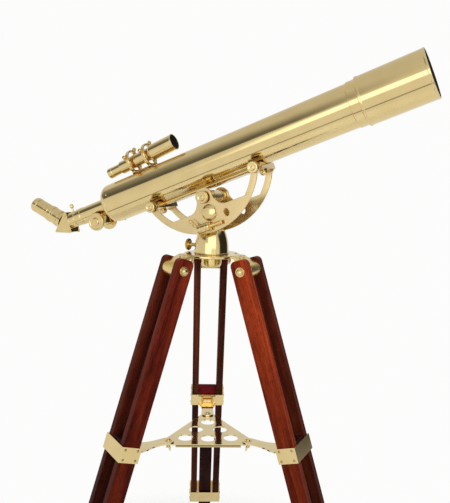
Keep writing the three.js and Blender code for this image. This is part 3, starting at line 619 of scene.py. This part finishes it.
def focuser():
    """The back cap with the focuser's barrel and pinion housing, and the two focus knobs."""
    shoulder = arc(-271.8, 27.0, 17.4, 90, 170, 8, 17.9)
    body = Piece("focuser_body_skin", "telescope", TUBE, [TUBE_BRASS, BLACK, SLOT_SHADOW])
    body.turned([
        (-263.5, 17.2), (-263.5, 42.6), (-271.8, 42.6), *shoulder, (-292, 21.4), (-294, 19.4),
        (-368, 19.4), (-369, 20.2), (-376, 20.2), (-376, 17.2), (-263.5, 17.2),
    ], segments=112, round_off=0.6, inside=lambda x, r: r < 17.6)
    body.turned([(-367.4, 19.2), (-367.4, 19.9), (-364.6, 19.9), (-364.6, 19.2), (-367.4, 19.2)],
                segments=96)
    body.block((-335, -15, -37.5), (-309, 15, -14), 1.6)
    body.turned([(-17, 0), (-17, 10), (17, 10), (17, 0)], "y", PINION, 48, 0.8)
    for y in (-9, 9):
        for x in (-330, -314):
            body.screw(shifted(x, y, -37.5) @ rotated(180, "X"), 2.0, 1.0, 0.3 * x)
    for angle in (67, 187, 307):
        body.screw(turned_about(-264, angle, TUBE_RADIUS), 2.3, 1.4, 0.5)
    body.done("focuser_body")
    knobs = Piece("focus_knobs_skin", "focus_knobs", TUBE @ PINION, [BRASS, DEEP_BRASS])
    knobs.turned([(-31, 0), (-31, 4), (31, 4), (31, 0)], "y", None, 32)
    for way in (-1, 1):
        face = way * 17.6
        rim = sorted((face + way * 4.2, face + way * 11.2))
        dish = [(0, 0), (0, 9), (3, 9), (4, 20.1), (4.8, 21), (10.6, 21), (11.6, 19.9), (11.6, 17),
                (11, 16.2),
                (11, 10.2), (12.2, 9.4), (13.6, 8.6), (14, 7), (14, 0)]
        knobs.turned([(face + way * rise, r) for rise, r in dish], "y", None, 200, 0.5,
                     (50, 0.55, rim[0], rim[1], 20.7))
    knobs.done("focus_knobs")


def draw_and_eyepiece():
    """The drawtube, its lock screw, the diagonal and the eyepiece."""
    draw = Piece("drawtube_skin", "drawtube", TUBE, [BRASS, BLACK])
    draw.turned([
        (-296, 14.5), (-296, 16.7), (-376.3, 16.7), (-376.3, 19.8), (-381, 19.8), (-382, 18.2),
        (-388, 17.7), (-389, 19), (-403.6, 19), (-404.2, 18.5), (-404.8, 19), (-407, 19), (-407, 15.6),
        (-385, 15.6), (-385, 14.5), (-296, 14.5),
    ], segments=96, inside=lambda x, r: r < 15.7)
    draw.done("drawtube")
    lock = Piece("drawtube_lock_skin", "drawtube_lock", TUBE @ shifted(DRAW_LOCK_AT, 0, 0))
    lock.turned([(16, 0), (16, 2), (28, 2), (28.8, 3.6), (30, 4.6), (35.8, 4.4), (37.6, 3.2), (38.4, 1.6),
                 (38.4, 0)], "z", None, 96,
                0.3, (18, 0.4, 29.6, 36, 4.1))
    lock.done("drawtube_lock_screw")
    wedge = Piece("diagonal_body_skin", "diagonal", TUBE, [BRASS, BLACK, SLOT_SHADOW])
    front = -407.3
    outline = [(front, -29), (front, 22.5), (front - 2, 24), (front - 46, -11), (front - 46.5, -14.5),
               (front - 3, -30)]
    wedge.slab(soften(inset(outline, 1.2), 1.0, True), [], -15, 15, "z", FLIP, 0.3)
    for side in (-1, 1):
        low, high = sorted((-side * 14.9, -side * 16.5))
        wedge.slab(soften(outline, 1.4, True), [], low, high, "z", FLIP, 0.35)
        for x, z in ((-412, 13), (-412, -24), (-446, -13)):
            head = shifted(x, side * 16.5, z) @ rotated(-90 * side, "X")
            wedge.screw(head, 1.7, 0.8, 0.1 * x)
    wedge.turned([(-409.3, 0), (-409.3, 15.2), (-389.3, 15.2), (-389.3, 12), (-409.3, 12)], segments=64,
                 round_off=0.5)
    wedge.turned([
        (10, 0), (10, 19.4), (19, 19.4), (19.8, 20.6), (28.4, 20.6), (29.2, 19.4), (36, 19.4),
        (36.5, 18.8), (37, 19.4), (43, 19.4), (43.8, 20.3), (53, 20.3), (53, 16.4), (22, 16.4), (22, 0),
    ], "x", WEDGE_TO_BEND, 96, 0.35, inside=lambda x, r: r < 16.5 and 21 < x)
    wedge.done("diagonal_prism_body")
    eye = Piece("eyepiece_skin", "eyepiece", BEND, [BRASS, BLACK, GLASS])
    eye.turned([
        (24, 0), (24, 15.9), (53.4, 15.9), (53.4, 17), (55.8, 18.4), (64, 18.4), (64.5, 17.8), (65, 18.4),
        (88, 18.4), (89, 17.3), (91, 17.3), (92, 18.4), (101.4, 18.4), (104.2, 16.9), (105, 15),
        (104.6, 12), (102.4, 9), (102, 0),
    ], "x", None, 96, 0.4, inside=lambda x, r: x > 102.1 and r < 12.2)
    eye.turned([(101.6, 0), (101.6, 8.9), (102.2, 8.9), (103.4, 4.5), (103.8, 0)], "x", None, 48, 0.2,
               finish=2)
    eye.done("eyepiece")


def finder_bore(along, radius):
    """Whether a face of the finder lies in its front opening or under its eye lens."""
    return along > -104.9 and radius < 17 or along < -256.9 and radius < 8


def finder():
    """The finder with its two rings and six screws."""
    middle = sum(FINDER_RINGS) / 2
    lean = rotated(-FINDER_TILT, "Y")
    tilted = shifted(middle, 0, FINDER_RISE) @ lean @ shifted(-middle, 0, 0)
    tube = Piece("finder_tube_skin", "telescope", TUBE @ tilted, [BRASS, BLACK, GLASS])
    tube.turned([
        (-257, 0), (-258, 6), (-260.4, 8.4), (-262, 9.6), (-262, 11.2), (-260.6, 12.2), (-251, 12.2),
        (-250, 11.6), (-226.2, 11.6), (-225, 13.6), (-224.2, 14.7), (-141, 14.7), (-138.6, 16), (-136, 18),
        (-78, 18), (-77, 18.5), (-75.4, 18.5), (-75, 18), (-75, 16.9), (-104, 16.9), (-105, 0),
    ], segments=96, round_off=0.5, inside=finder_bore)
    tube.turned([(-104.5, 0), (-104.5, 16.2), (-103.5, 16.2), (-101, 8), (-100.4, 0)], segments=64,
                round_off=0.2, finish=2)
    tube.done("finder_tube")
    bracket = Piece("finder_bracket_skin", "telescope", TUBE, [BRASS, BRASS, SLOT_SHADOW])
    seat = [(-8, 44.7), (-4, 45.2), (4, 45.2), (8, 44.7), (8, 48.2), (-8, 48.2)]
    bracket.slab(seat, [], -198, -140, "x", None, 0.4)
    for at in FINDER_RINGS:
        centre = shifted(at, 0, FINDER_RISE)
        bracket.turned([(-4, 23), (-4, 26), (-3, 27), (3, 27), (4, 26), (4, 23), (-4, 23)], "x", centre,
                       96, 0.9)
        foot = [(-13, 43.6), (0, 45.4), (13, 43.6), (13, 49), (10, 51.4), (-10, 51.4), (-13, 49)]
        bracket.slab(foot, [], at - 4, at + 4, "x", None, 0.5)
        for angle in (-32, 76, -138):
            collar = centre @ rotated(angle, "X")
            bracket.turned([(26, 0), (26, 3.8), (28.2, 3.8), (28.6, 3.2), (28.6, 0)], "z", collar, 32, 0.3)
    for x in (-169, -176, -162):
        bracket.screw(shifted(x, 0, 48.2), 2.2, 1.0, x)
    bracket.done("finder_bracket")
    for row in ("rear", "front"):
        for i in (1, 2, 3):
            name = f"finder_screw_{row}_{i}"
            out = axis_of(name + "_turn")
            where = place(ALONG, out.cross(ALONG), out, origin_of(name + "_turn"))
            screw = Piece(name + "_skin", name, where, [DEEP_BRASS])
            screw.turned([
                (-18.8, 0), (-18.8, 1.4), (-18, 2), (-6, 2), (-5, 3.4), (-3.6, 4.3), (2, 4.4), (3.6, 3.6),
                (4.4, 2), (4.4, 0),
            ], "z", None, 96, 0.3, (16, 0.45, -3.8, 2.4, 4.2))
            screw.done(name)


# ---- yoke ----
def circles_meet(c1, r1, c2, r2, pick):
    """The meeting point of two circles for which pick is highest."""
    d = Vector(c2) - Vector(c1)
    along = (d.length_squared + r1 * r1 - r2 * r2) / (2 * d.length)
    off = math.sqrt(r1 * r1 - along * along)
    u = d.normalized()
    base = Vector(c1) + u * along
    both = [base + Vector((-u.y, u.x)) * s * off for s in (-1, 1)]
    return max(both, key=pick)


def angle_at(centre, p):
    """The angle of p seen from the centre, in degrees."""
    return math.degrees(math.atan2(p[1] - centre[1], p[0] - centre[0]))


def crescent_outline():
    """The right half of the plate's outline from bottom to top, mirrored for the left."""
    outer = circles_meet(MOON, MOON_OUTER, BOLT, 12, lambda p: -p.y)
    inner = circles_meet(MOON, MOON_INNER, BOLT, 12, lambda p: -p.y)
    right = arc(*MOON, MOON_OUTER, -90, angle_at(MOON, outer), 2.5)
    right += arc(*BOLT, 12, angle_at(BOLT, outer), angle_at(BOLT, inner) + 360, 12)[1:]
    chord = -27.0
    start = math.degrees(math.asin((chord - MOON[1]) / MOON_INNER))
    right += arc(*MOON, MOON_INNER, angle_at(MOON, inner), start, 2.5)[1:]
    right += soften([right[-1], (38.4, chord), (27, -20), (19, -6), (19.5, 3)], 7)[1:]
    right += arc(0, 0, 20, 12, 90, 9)
    left = [(-x, y) for x, y in right[::-1]]
    return [tuple(p) for p in right[:-1]] + [tuple(p) for p in left[:-1]]


def yoke():
    """The two crescent plates with their rim bosses."""
    outline = crescent_outline()
    for side, name in ((-1, "yoke_plate_near"), (1, "yoke_plate_far")):
        plate = Piece(name + "_skin", "telescope", TILT, [PLATE_BRASS, BRASS])
        low, high = sorted((-side * PLATE_IN, -side * PLATE_OUT))
        holes = [ring(0, 0, 6.6)]
        for way in (-1, 1):
            holes.append(ring(way * BOLT[0], BOLT[1], 4.4))
            holes.append(ring(way * 39.5, -46.5, 6.5, 8.5))
        plate.slab(outline, holes, low, high, "z", FLIP, 0.5)
        face = side * PLATE_OUT
        dome = [(-0.3, 0), (-0.3, 17.5), (1.4, 17.5), (2.0, 16.6), (4.2, 15.4), (6, 12), (6.8, 7.5),
                (7, 3), (7, 0)]
        plate.turned([(face + side * rise, r) for rise, r in dome], "y", shifted(*RIM_BOSS), 72, 0.6,
                     finish=1)
        if side < 0:
            stub = shifted(CLAMP[0], 0, CLAMP[2])
            plate.turned([(-52, 0), (-52, 3.4), (-45, 3.4), (-45, 0)], "y", stub, 32, finish=1)
        plate.done(name)


def yoke_hardware():
    """The pivot knob and nut, the clamp with its bar, and the saddle bolts."""
    pivot = Piece("altitude_pivot_skin", "altitude_pivot", TILT)
    knob(pivot, -46.4, -1, 13.5, 11, 6, 46, "y")
    pivot.done("altitude_pivot_knob")
    nut = Piece("altitude_nut_skin", "altitude_pivot", TILT)
    knob(nut, 46.4, 1, 13.5, 13, 7.8, 46.4, "y")
    nut.done("altitude_pivot_nut")
    lever = Piece("clamp_lever_skin", "altitude_clamp_lever", TILT @ shifted(*CLAMP), [BRASS, DEEP_BRASS])
    threads = [point for i in range(14) for point in ((16.6 + 1.7 * i, 4.5), (17.4 + 1.7 * i, 3.8))]
    lever.turned([
        (-15, 0), (-15, 7.4), (-13.8, 9.4), (-12.6, 10), (-6, 10), (-5.4, 9.2), (-4.8, 10), (6, 10),
        (6.6, 9.2), (7.2, 10), (12.6, 10), (14, 9), (15, 6), (15, 4.5), *threads, (41, 4.5), (42, 3.5),
        (42, 0),
    ], "x", None, 72, 0.25, inside=lambda x, r: x > 15.5)
    bar = shifted(-9, 0, 0) @ rotated(180 + 53, "Y")
    grip = [(0, 0), (0, 2.4), (24.6, 2.4), (25.6, 3.3), (28, 3.8), (30.6, 3.2), (32, 1.6), (32, 0)]
    lever.turned(grip, "x", bar, 40, 0.3, finish=1)
    lever.done("altitude_clamp_lever")
    for end, way in (("rear", -1), ("front", 1)):
        at = TILT @ shifted(way * BOLT[0], 0, BOLT[1])
        bolt = Piece(f"saddle_bolt_{end}_skin", f"saddle_bolt_{end}", at)
        knob(bolt, -46.4, -1, 12, 10, 4, -32.5, "y", None, 24)
        bolt.done(f"saddle_bolt_{end}")


def saddle():
    """The rail under the tube with its two cross blocks and nuts."""
    made = Piece("tube_saddle_skin", "telescope", TILT, [BRASS, BRASS, SLOT_SHADOW])
    seat = 45.4
    half = math.degrees(math.asin(14 / seat))
    rail = [(-14, 18.8), (14, 18.8)] + arc(*MOON, seat, -90 + half, -90 - half, 4)
    made.slab(rail, [], -112, 112, "x", None, 0.4)
    half = math.degrees(math.acos((TUBE_RISE - 27) / seat))
    hollow = arc(*MOON, seat, -90 + half, -90 - half, 4)
    block = [(-41.6, 13.5), (41.6, 13.5), (41.6, 27), *hollow, (-41.6, 27)]
    for way in (-1, 1):
        made.slab(block, [], way * 127 - 16, way * 127 + 16, "x", None, 1.0)
        nut = shifted(way * 129, 0, 0)
        made.slab(soften(ring(0, 0, 9.4, count=6), 1.4, True), [], 9.4, 13.6, "z", nut, 0.5)
        made.turned([(3, 0), (3.0, 2.6), (4.2, 5.8), (6.6, 7.8), (9.8, 8.2), (9.8, 0)], "z", nut, 56, 1.2)
        for y in (-24, 24):
            made.screw(shifted(way * 127, y, 13.5) @ rotated(180, "X"), 3.0, 1.3, y)
        rivet = shifted(way * BOLT[0], 0, BOLT[1])
        made.turned([(36, 0), (36, 4), (46.3, 4), (46.3, 7), (47.4, 6.8), (49, 4.6), (49.4, 0)], "y",
                    rivet, 48, 0.6)
    made.done("tube_saddle")


def carrier_and_pillar():
    """The carrier between the plates, the bell-shaped pillar and its lock screw."""
    carrier = Piece("yoke_carrier_skin", "yoke_carrier", CARRIER)
    carrier.turned([
        (37, 0), (37, 14), (84.8, 14), (84.8, 24), (85.8, 25), (88.4, 24.2), (91, 20.5), (93, 16.4),
        (93.8, 10), (93.8, 0),
    ], "z", None, 96, 0.8)
    tongue = [(-12.5, 88), (12.5, 88), (10.2, 112), (10.2, 128), (12.5, 154), (-12.5, 154), (-10.2, 128),
              (-10.2, 112)]
    carrier.slab(soften(tongue, 10, True, 5), [], -17, 17, "z", FLIP, 2.2)
    barrel = shifted(0, 0, 154)
    carrier.turned([
        (-41.6, 6.6), (-41.6, 13), (-40, 14.5), (-22, 14.5), (-21, 13.6), (-18, 13.6), (-17, 14.5),
        (17, 14.5), (18, 13.6), (21, 13.6), (22, 14.5), (40, 14.5), (41.6, 13), (41.6, 6.6), (-41.6, 6.6),
    ], "y", barrel, 96, 0.6)
    carrier.done("yoke_carrier")
    pillar = Piece("azimuth_pillar_skin", "tripod_head", ROOT, [BRASS, BLACK])
    dome = [(40, 37.2), (45, 36.9), (50, 36.5), (55, 35.9), (60, 35), (64, 34.1), (68, 33), (71.5, 31.9),
            (75, 30.8),
            (80, 28.9), (83.2, 27.2), (84.3, 26)]
    pillar.turned([
        (29.8, 0), (29.8, 38.4), (31.4, 38.4), (32, 37.6), *dome, (84.5, 25), (84.5, 14.8), (36, 14.8),
        (36, 0),
    ], "z", None, 144, 0.6, inside=lambda x, r: r < 15)
    pillar.done("azimuth_pillar")
    out = axis_of("azimuth_lock_turn")
    lock_at = place(out, UP.cross(out), UP, origin_of("azimuth_lock_turn"))
    lock = Piece("azimuth_lock_skin", "azimuth_lock", lock_at, [DEEP_BRASS])
    lock.turned([(37.4, 4.4), (37.4, 7.5), (39.4, 7.5), (39.4, 4.4), (37.4, 4.4)], "x", None, 48)
    knob(lock, 56, 1, 13.3, 6, 4, 14.6, "x", None, 28)
    lock.done("azimuth_lock_screw")


# ---- tripod head ----
def head():
    """The head: hub, disc and a lug with a round boss for each leg."""
    made = Piece("tripod_head_skin", "tripod_head", ROOT, [BRASS, HUB_BRASS, SLOT_SHADOW])
    bowl = [(0, 0), (0, 17.5), (0.6, 19), (1.5, 20), (2.8, 20.9), (4.5, 21.5), (7, 21.9), (10, 22),
            (24.5, 22.8), (24.5, 0)]
    made.turned(bowl, "z", None, 96, 0.6, inside=lambda x, r: x < 24)
    low, high = HEAD_BOTTOM, HEAD_TOP
    made.turned([(low, 0), (low, 61), (24.5, 62), (28, 62), (high, 60.5), (high, 0)], "z", None, 144, 0.6)
    low, high = HEAD_BOTTOM + 0.3, HEAD_TOP - 0.3
    lug = [(40, low), (64, low)] + arc(LEG_BOLT_AT, 0, 19.5, 144, 441, 7) + [(68, high), (40, high)]
    for leg in LEGS:
        joint = f"{leg}_fold"
        across = -axis_of(joint)
        spoke = ROOT.inverted() @ place(across, UP.cross(across), UP, (0, 0, 0))
        made.slab(lug, [ring(LEG_BOLT_AT, 0, 5.6)], -22.4, 22.4, "x", spoke, 1.2, finish=1)
        for x in (-9, 9):
            made.screw(spoke @ shifted(x, 76, high), 3.0, 1.2, x)
    for i in range(6):
        turn = rotated(60 * i + 30, "Z")
        made.screw(turn @ shifted(0, 53.5, HEAD_TOP), 3.2, 1.3, 0.7 * i)
    made.done("tripod_head")


# ---- legs ----
def leg_hardware(leg):
    """The bolt, screws, clamp knob, spreader arm and wing screw of one leg."""
    short = leg.replace("_leg", "")
    where = leg_place(leg)
    bolt = Piece(f"{leg}_bolt_skin", leg, where)
    bolt.turned([(-39.4, 0), (-39.4, 5), (39.4, 5), (39.4, 0)], "x", None, 32)
    hexagon = arc(0, 0, 8.6, 10, 310, 60)
    for side in (-1, 1):
        low, high = sorted((side * 40.8, side * 45.2))
        washer = [(39.5, 0), (39.5, 10.4), (41, 10.4), (41, 0)]
        bolt.turned([(side * x, r) for x, r in washer], "x", None, 56, 0.4)
        bolt.slab(soften(hexagon, 1.2, True), [], low, high, "x", None, 0.6)
        cap = [(44.8, 0), (44.8, 6.4), (46.2, 6.0), (47.6, 3.8), (48.1, 0)]
        bolt.turned([(side * x, r) for x, r in cap], "x", None, 40, 0.8)
    bolt.done(f"{leg}_pivot_bolt")
    # The bracket screws take the painted shade brass, with painted shadow in their slots.
    screws = Piece(f"{leg}_bracket_screws", leg, where, [PAINTED_SHADE_BRASS, SLOT_SHADOW])
    for side in (-1, 1):
        turn = rotated(90 * side, "Y")
        for y in (-14.5, 14.5):
            for z in (BRACKET_BOTTOM + 6, BRACKET_TOP - 6):
                screws.screw(shifted(side * STRAP_FACE, y, z) @ turn, 3.0, 1.1, y + z)
            for z in (COLLAR_BOTTOM + 7, COLLAR_TOP - 7):
                screws.screw(shifted(side * STRAP_FACE, y, z) @ turn, 3.0, 1.1, y - z)
    screws.done()
    clamp_at = where @ shifted(0, 0, (COLLAR_TOP + COLLAR_BOTTOM) / 2)
    clamp = Piece(f"{leg}_clamp_knob_skin", f"{short}_clamp_knob", clamp_at, [DEEP_BRASS])
    knob(clamp, 28.35, 1, 15, 11, 4, 17.3, "y", None, 26)
    clamp.done(f"{leg}_clamp_knob")
    arm = Piece(f"{leg}_arm_skin", f"{short}_arm", spoke_place(leg, f"{short}_arm_fold"), [TRAY_BRASS])
    arm.slab(arm_outline(), [ring(0, -ARM_REACH, 5.6)], -2.6, 0.4, "z", None, 0.35)
    arm.block((-10, -9, -2.6), (10, 0, 0.4), 0.3)
    arm.turned([(-10, 2.9), (-10, 4.4), (10, 4.4), (10, 2.9), (-10, 2.9)], "x", None, 40, 0.3)
    arm.done(f"{leg}_spreader_arm")
    wing_at = spoke_place(leg, f"{short}_wing_screw_turn", True)
    wing = Piece(f"{leg}_wing_screw_skin", f"{short}_wing_screw", wing_at)
    bottom, top = WING_BOTTOM, WING_TOP
    wing.turned([
        (bottom - 10, 0), (bottom - 10, 2.8), (bottom - 9.2, 3.8), (bottom - 3, 5.8), (bottom - 1, 6.5),
        (bottom, 6.5), (bottom, 4), (top - 0.4, 4), (top - 0.4, 8.6), (top + 0.6, 8.6), (top + 0.8, 5.4),
        (top + 2.6, 4.6), (top + 3.6, 2.4), (top + 3.6, 0),
    ], "z", None, 56, 0.4)
    for side in (-1, 1):
        blade = [(2, bottom - 9), (5, bottom - 12.4), (8, bottom - 15), (10, bottom - 13),
                 (10.2, bottom - 6), (3, bottom - 2)]
        outline = [(side * x, z) for x, z in soften(blade, 2, True)]
        wing.slab(outline, [], -1.3, 1.3, "z", FLIP, 0.5)
    wing.done(f"{leg}_wing_screw")


def bezier(p0, p1, p2, p3, count=8):
    """Points along a cubic curve, without its first."""
    points = [Vector(p) for p in (p0, p1, p2, p3)]
    out = []
    for i in range(1, count + 1):
        s = i / count
        weights = ((1 - s) ** 3, 3 * s * (1 - s) ** 2, 3 * s * s * (1 - s), s ** 3)
        out.append(tuple(sum((p * w for p, w in zip(points, weights)), Vector((0, 0)))))
    return out


def arm_outline():
    """The spreader arm seen from above."""
    tip = ARM_REACH + 12
    right = [(22.5, -7.5), (22.5, -16)]
    right += bezier((22.5, -16), (20, -32), (14, -34), (14, -54))
    right += bezier((14, -54), (14, -66), (15, -70), (15, -ARM_REACH + 4))
    right += bezier((15, -ARM_REACH + 4), (15, -tip + 5), (8, -tip), (0, -tip))
    left = [(-x, y) for x, y in right[::-1]]
    return right + left[1:]


def tray():
    """The three-cornered tray with its holes and turned-down lips."""
    outline = []
    holes = []
    for corner in (90, 210, 330):
        outline += arc(*polar(92, corner), 19, corner - 60, corner + 60, 6)
        holes.append(ring(*polar(59, corner), 16.5, count=56))
        holes.append(ring(*polar(32.5, corner + 60), 16.5, count=56))
        holes.append(ring(*polar(TRAY_SCREW_AT, corner), 4.8, count=24))
    made = Piece("accessory_tray_skin", "tray", ROOT, [TRAY_BRASS, PAINTED_SHADE_BRASS])
    made.slab(outline, holes, -389.4, -386.4, "z", None, 0.45)
    for i in range(3):
        turn = rotated(120 * i, "Z")
        # The lips take the painted shade brass.
        made.block((-72, -65, -393.4), (72, -63, -387.4), 0.5, turn, 1)
    made.done("accessory_tray")


def shoe(leg):
    """A brass ferrule round the foot of the extension."""
    body = leg.replace("_leg", "_extension")
    made = Piece(f"{leg}_ferrule", body, leg_place(leg), [BRASS, SLOT_SHADOW])
    outer, start, end = 18.2, -1112.0, -1080.0
    square = [(-outer, -outer - 0.5), (outer, -outer - 0.5), (outer, outer + 0.5), (-outer, outer + 0.5)]
    hole = [(-16.6, -17.1), (16.6, -17.1), (16.6, 17.1), (-16.6, 17.1)]
    made.slab(soften(square, 2.5, True), [soften(hole, 0.6, True)], start, end, "z", None, 0.5)
    for side in (-1, 1):
        turn = rotated(90 * side, "Y")
        made.screw(shifted(side * outer, 0, -1096) @ turn, 2.4, 1.0, side)
    made.done()


def bar_wood(leg, side):
    """The bar at the back of a side leg takes painted shade: a darker tone than the one in front."""
    return (SHADED_FAR_WOODS if (leg, side) in FAR_BARS else WOODS)[leg]


def finish_cad_nodes():
    """The nodes that stay get rounded edges and their materials."""
    for leg in LEGS:
        # The side legs' back bars and every extension get painted shade woods.
        rounded = {
            f"{leg}_left_bar": (1.5, bar_wood(leg, "left")),
            f"{leg}_right_bar": (1.5, bar_wood(leg, "right")),
            f"{leg}_extension": (1.2, PAINTED_SHADE_WOODS[leg]), f"{leg}_spacer_block": (0.8, RED_WOODS[leg]),
            f"{leg}_spreader_bracket": (0.5, BRASS), f"{leg}_clamp_collar": (0.5, BRASS),
        }
        for node, (width, material) in rounded.items():
            made = NODES[node]
            made.data.materials.clear()
            made.data.materials.append(material)
            for polygon in made.data.polygons:
                polygon.use_smooth = True
            if "custom_normal" in made.data.attributes:
                made.data.attributes.remove(made.data.attributes["custom_normal"])
            new = made.modifiers.new
            setup(new("weld", "WELD"), merge_threshold=0.00001)
            setup(new("planar", "DECIMATE"), decimate_type="DISSOLVE", angle_limit=math.radians(1))
            setup(new("round_edges", "BEVEL"), width=width * MM, segments=3, limit_method="ANGLE",
                  angle_limit=math.radians(40))
            weigh_normals(made)


main_tube()
focuser()
draw_and_eyepiece()
finder()
yoke()
yoke_hardware()
saddle()
carrier_and_pillar()
head()
for leg_name in LEGS:
    leg_hardware(leg_name)
    shoe(leg_name)
tray()
finish_cad_nodes()


# ---- stage ----
# The cards round the object as glossy rays see them, each over the ones before: name, level and terms. A card
# is there where all its terms are: one fades in from its first value to its second, along an axis of the ray.
CARDS = (
    ("dark flag, upper left", 0.12, (("X", -0.58, -0.80), ("Y", 0.50, 0.25), ("Z", 0.24, 0.29),
                                     ("Z", 0.98, 0.36))),
    ("dark flag, right", 0.03,
     (("X", 0.50, 0.66), ("Y", 0.74, 0.60), ("Y", -0.68, -0.50), ("Z", -0.35, -0.10), ("Z", 0.58, 0.40))),
    ("dark gap under the front", 0.25, (("Y", 0.10, -0.20), ("Z", -0.78, -0.75), ("Z", -0.70, -0.73))),
    ("bright strip, front left", 2.0,
     (("X", -0.80, -0.62), ("X", -0.02, -0.16), ("Y", -0.30, -0.60), ("Z", -0.20, -0.10),
      ("Z", 0.20, 0.12))),
    ("bright panel, front", 2.0,
     (("X", -0.50, -0.40), ("X", 0.50, 0.40), ("Y", -0.30, -0.60), ("Z", -0.03, 0.05), ("Z", 0.52, 0.40))),
)
LEVEL_LOW, LEVEL_HIGH = 0.86, 0.66
WARMTH = (1.0, 0.985, 0.955)
SOFT_GREY = (0.42, 0.42, 0.42, 1)
BACKGROUND = (0.975, 0.975, 0.97, 1)


def world_light():
    """A pale studio with cards for glossy rays, an even grey for diffuse rays and a plain background."""
    world = bpy.data.worlds.new("studio")
    bpy.context.scene.world = world
    world.use_nodes = True
    tree = world.node_tree
    direction = add_node(tree, "ShaderNodeTexCoord").outputs["Generated"]
    parts = add_node(tree, "ShaderNodeSeparateXYZ", {0: direction}).outputs

    def smooth(axis, start, end, low=0.0, high=1.0):
        values = {"Value": parts[axis], "From Min": start, "From Max": end, "To Min": low, "To Max": high}
        return add_node(tree, "ShaderNodeMapRange", values, interpolation_type="SMOOTHSTEP").outputs[0]

    level = smooth("Z", -0.4, 0.9, LEVEL_LOW, LEVEL_HIGH)
    for _, card_level, terms in CARDS:
        mask = 1.0
        for term in terms:
            mask = compute(tree, "MULTIPLY", mask, smooth(*term))
        level = add_node(tree, "ShaderNodeMix", {0: mask, 2: level, 3: card_level}).outputs[0]
    studio = add_node(tree, "ShaderNodeVectorMath", {0: WARMTH, "Scale": level},
                      operation="SCALE").outputs[0]
    path = add_node(tree, "ShaderNodeLightPath").outputs
    colour = studio
    for ray, plain in (("Is Diffuse Ray", SOFT_GREY), ("Is Camera Ray", BACKGROUND)):
        values = {0: path[ray], 6: colour, 7: plain}
        colour = add_node(tree, "ShaderNodeMix", values, data_type="RGBA").outputs[2]
    feed(tree, tree.nodes["Background"], {"Color": colour, "Strength": 1.0})


# name, place, size in metres and power in watts
LIGHTS = (
    ("key_right", (1.1, -2.8, 0.9), 1.2, 62),
    ("fill_left", (-2.0, -2.4, 0.6), 1.4, 16),
    ("top", (0.2, -0.6, 2.6), 1.6, 30),
)
LIGHT_TARGET = Vector((0, 0, -0.3))


def soft_light(name, location, size, power):
    """A round soft light aimed at the middle of the object; neither mirrors nor the camera see it."""
    data = setup(bpy.data.lights.new(name, "AREA"), shape="DISK", size=size, energy=power)
    turn = (LIGHT_TARGET - Vector(location)).to_track_quat("-Z", "Y")
    setup(add_object(name, data), location=location, rotation_mode="QUATERNION", rotation_quaternion=turn,
          visible_glossy=False, visible_camera=False)


FLOOR_RADIUS, FLOOR_GAP = 1.1, 0.0005


def floor():
    """A round pale floor that fades into the background far from the object."""
    material, tree, shader, coords = new_material("pale_floor")
    grain = noise(tree, coords, 3.0, 4.0)
    tone = ramp(tree, grain, [(0.3, (0.86, 0.86, 0.85)), (0.7, (0.89, 0.89, 0.88))])
    feed(tree, shader, {"Base Color": tone, "Roughness": 0.8, "Specular IOR Level": 0.1})
    flat = add_node(tree, "ShaderNodeVectorMath", {0: coords}, operation="LENGTH").outputs["Value"]
    far = spread(tree, flat, 0.0, 1.0, 0.5, 1.05)
    clear = add_node(tree, "ShaderNodeBsdfTransparent").outputs[0]
    mix_surface(tree, far, shader, clear)
    mesh = bpy.data.meshes.new("floor")
    shape = bmesh.new()
    bmesh.ops.create_circle(shape, cap_ends=True, radius=FLOOR_RADIUS, segments=96)
    shape.to_mesh(mesh)
    shape.free()
    mesh.materials.append(material)
    made = add_object("floor", mesh)
    made.location.z = CAD_BOX[0].z - FLOOR_GAP


CAMERA_AT = (-0.0266, -1.3476, 0.2082)
CAMERA_TURN = (2.38, -7.39, 1.35)
LENS, SENSOR = 43.93, 36


def camera():
    """The camera in front of the object, turned by its yaw, pitch and roll in degrees."""
    yaw, pitch, roll = (math.radians(a) for a in CAMERA_TURN)
    forward = Vector((math.sin(yaw) * math.cos(pitch), math.cos(yaw) * math.cos(pitch), math.sin(pitch)))
    side = Vector((math.cos(yaw), -math.sin(yaw), 0))
    over = side.cross(forward)
    right = side * math.cos(roll) + over * math.sin(roll)
    upward = over * math.cos(roll) - side * math.sin(roll)
    made = add_object("camera", setup(bpy.data.cameras.new("camera"), sensor_width=SENSOR, lens=LENS))
    rows = [(right[i], upward[i], -forward[i], CAMERA_AT[i]) for i in range(3)]
    made.matrix_world = Matrix((*rows, (0, 0, 0, 1)))
    bpy.context.scene.camera = made


world_light()
for light in LIGHTS:
    soft_light(*light)
floor()
camera()
bpy.context.scene.view_settings.view_transform = "Standard"
bpy.context.scene.view_settings.look = "None"
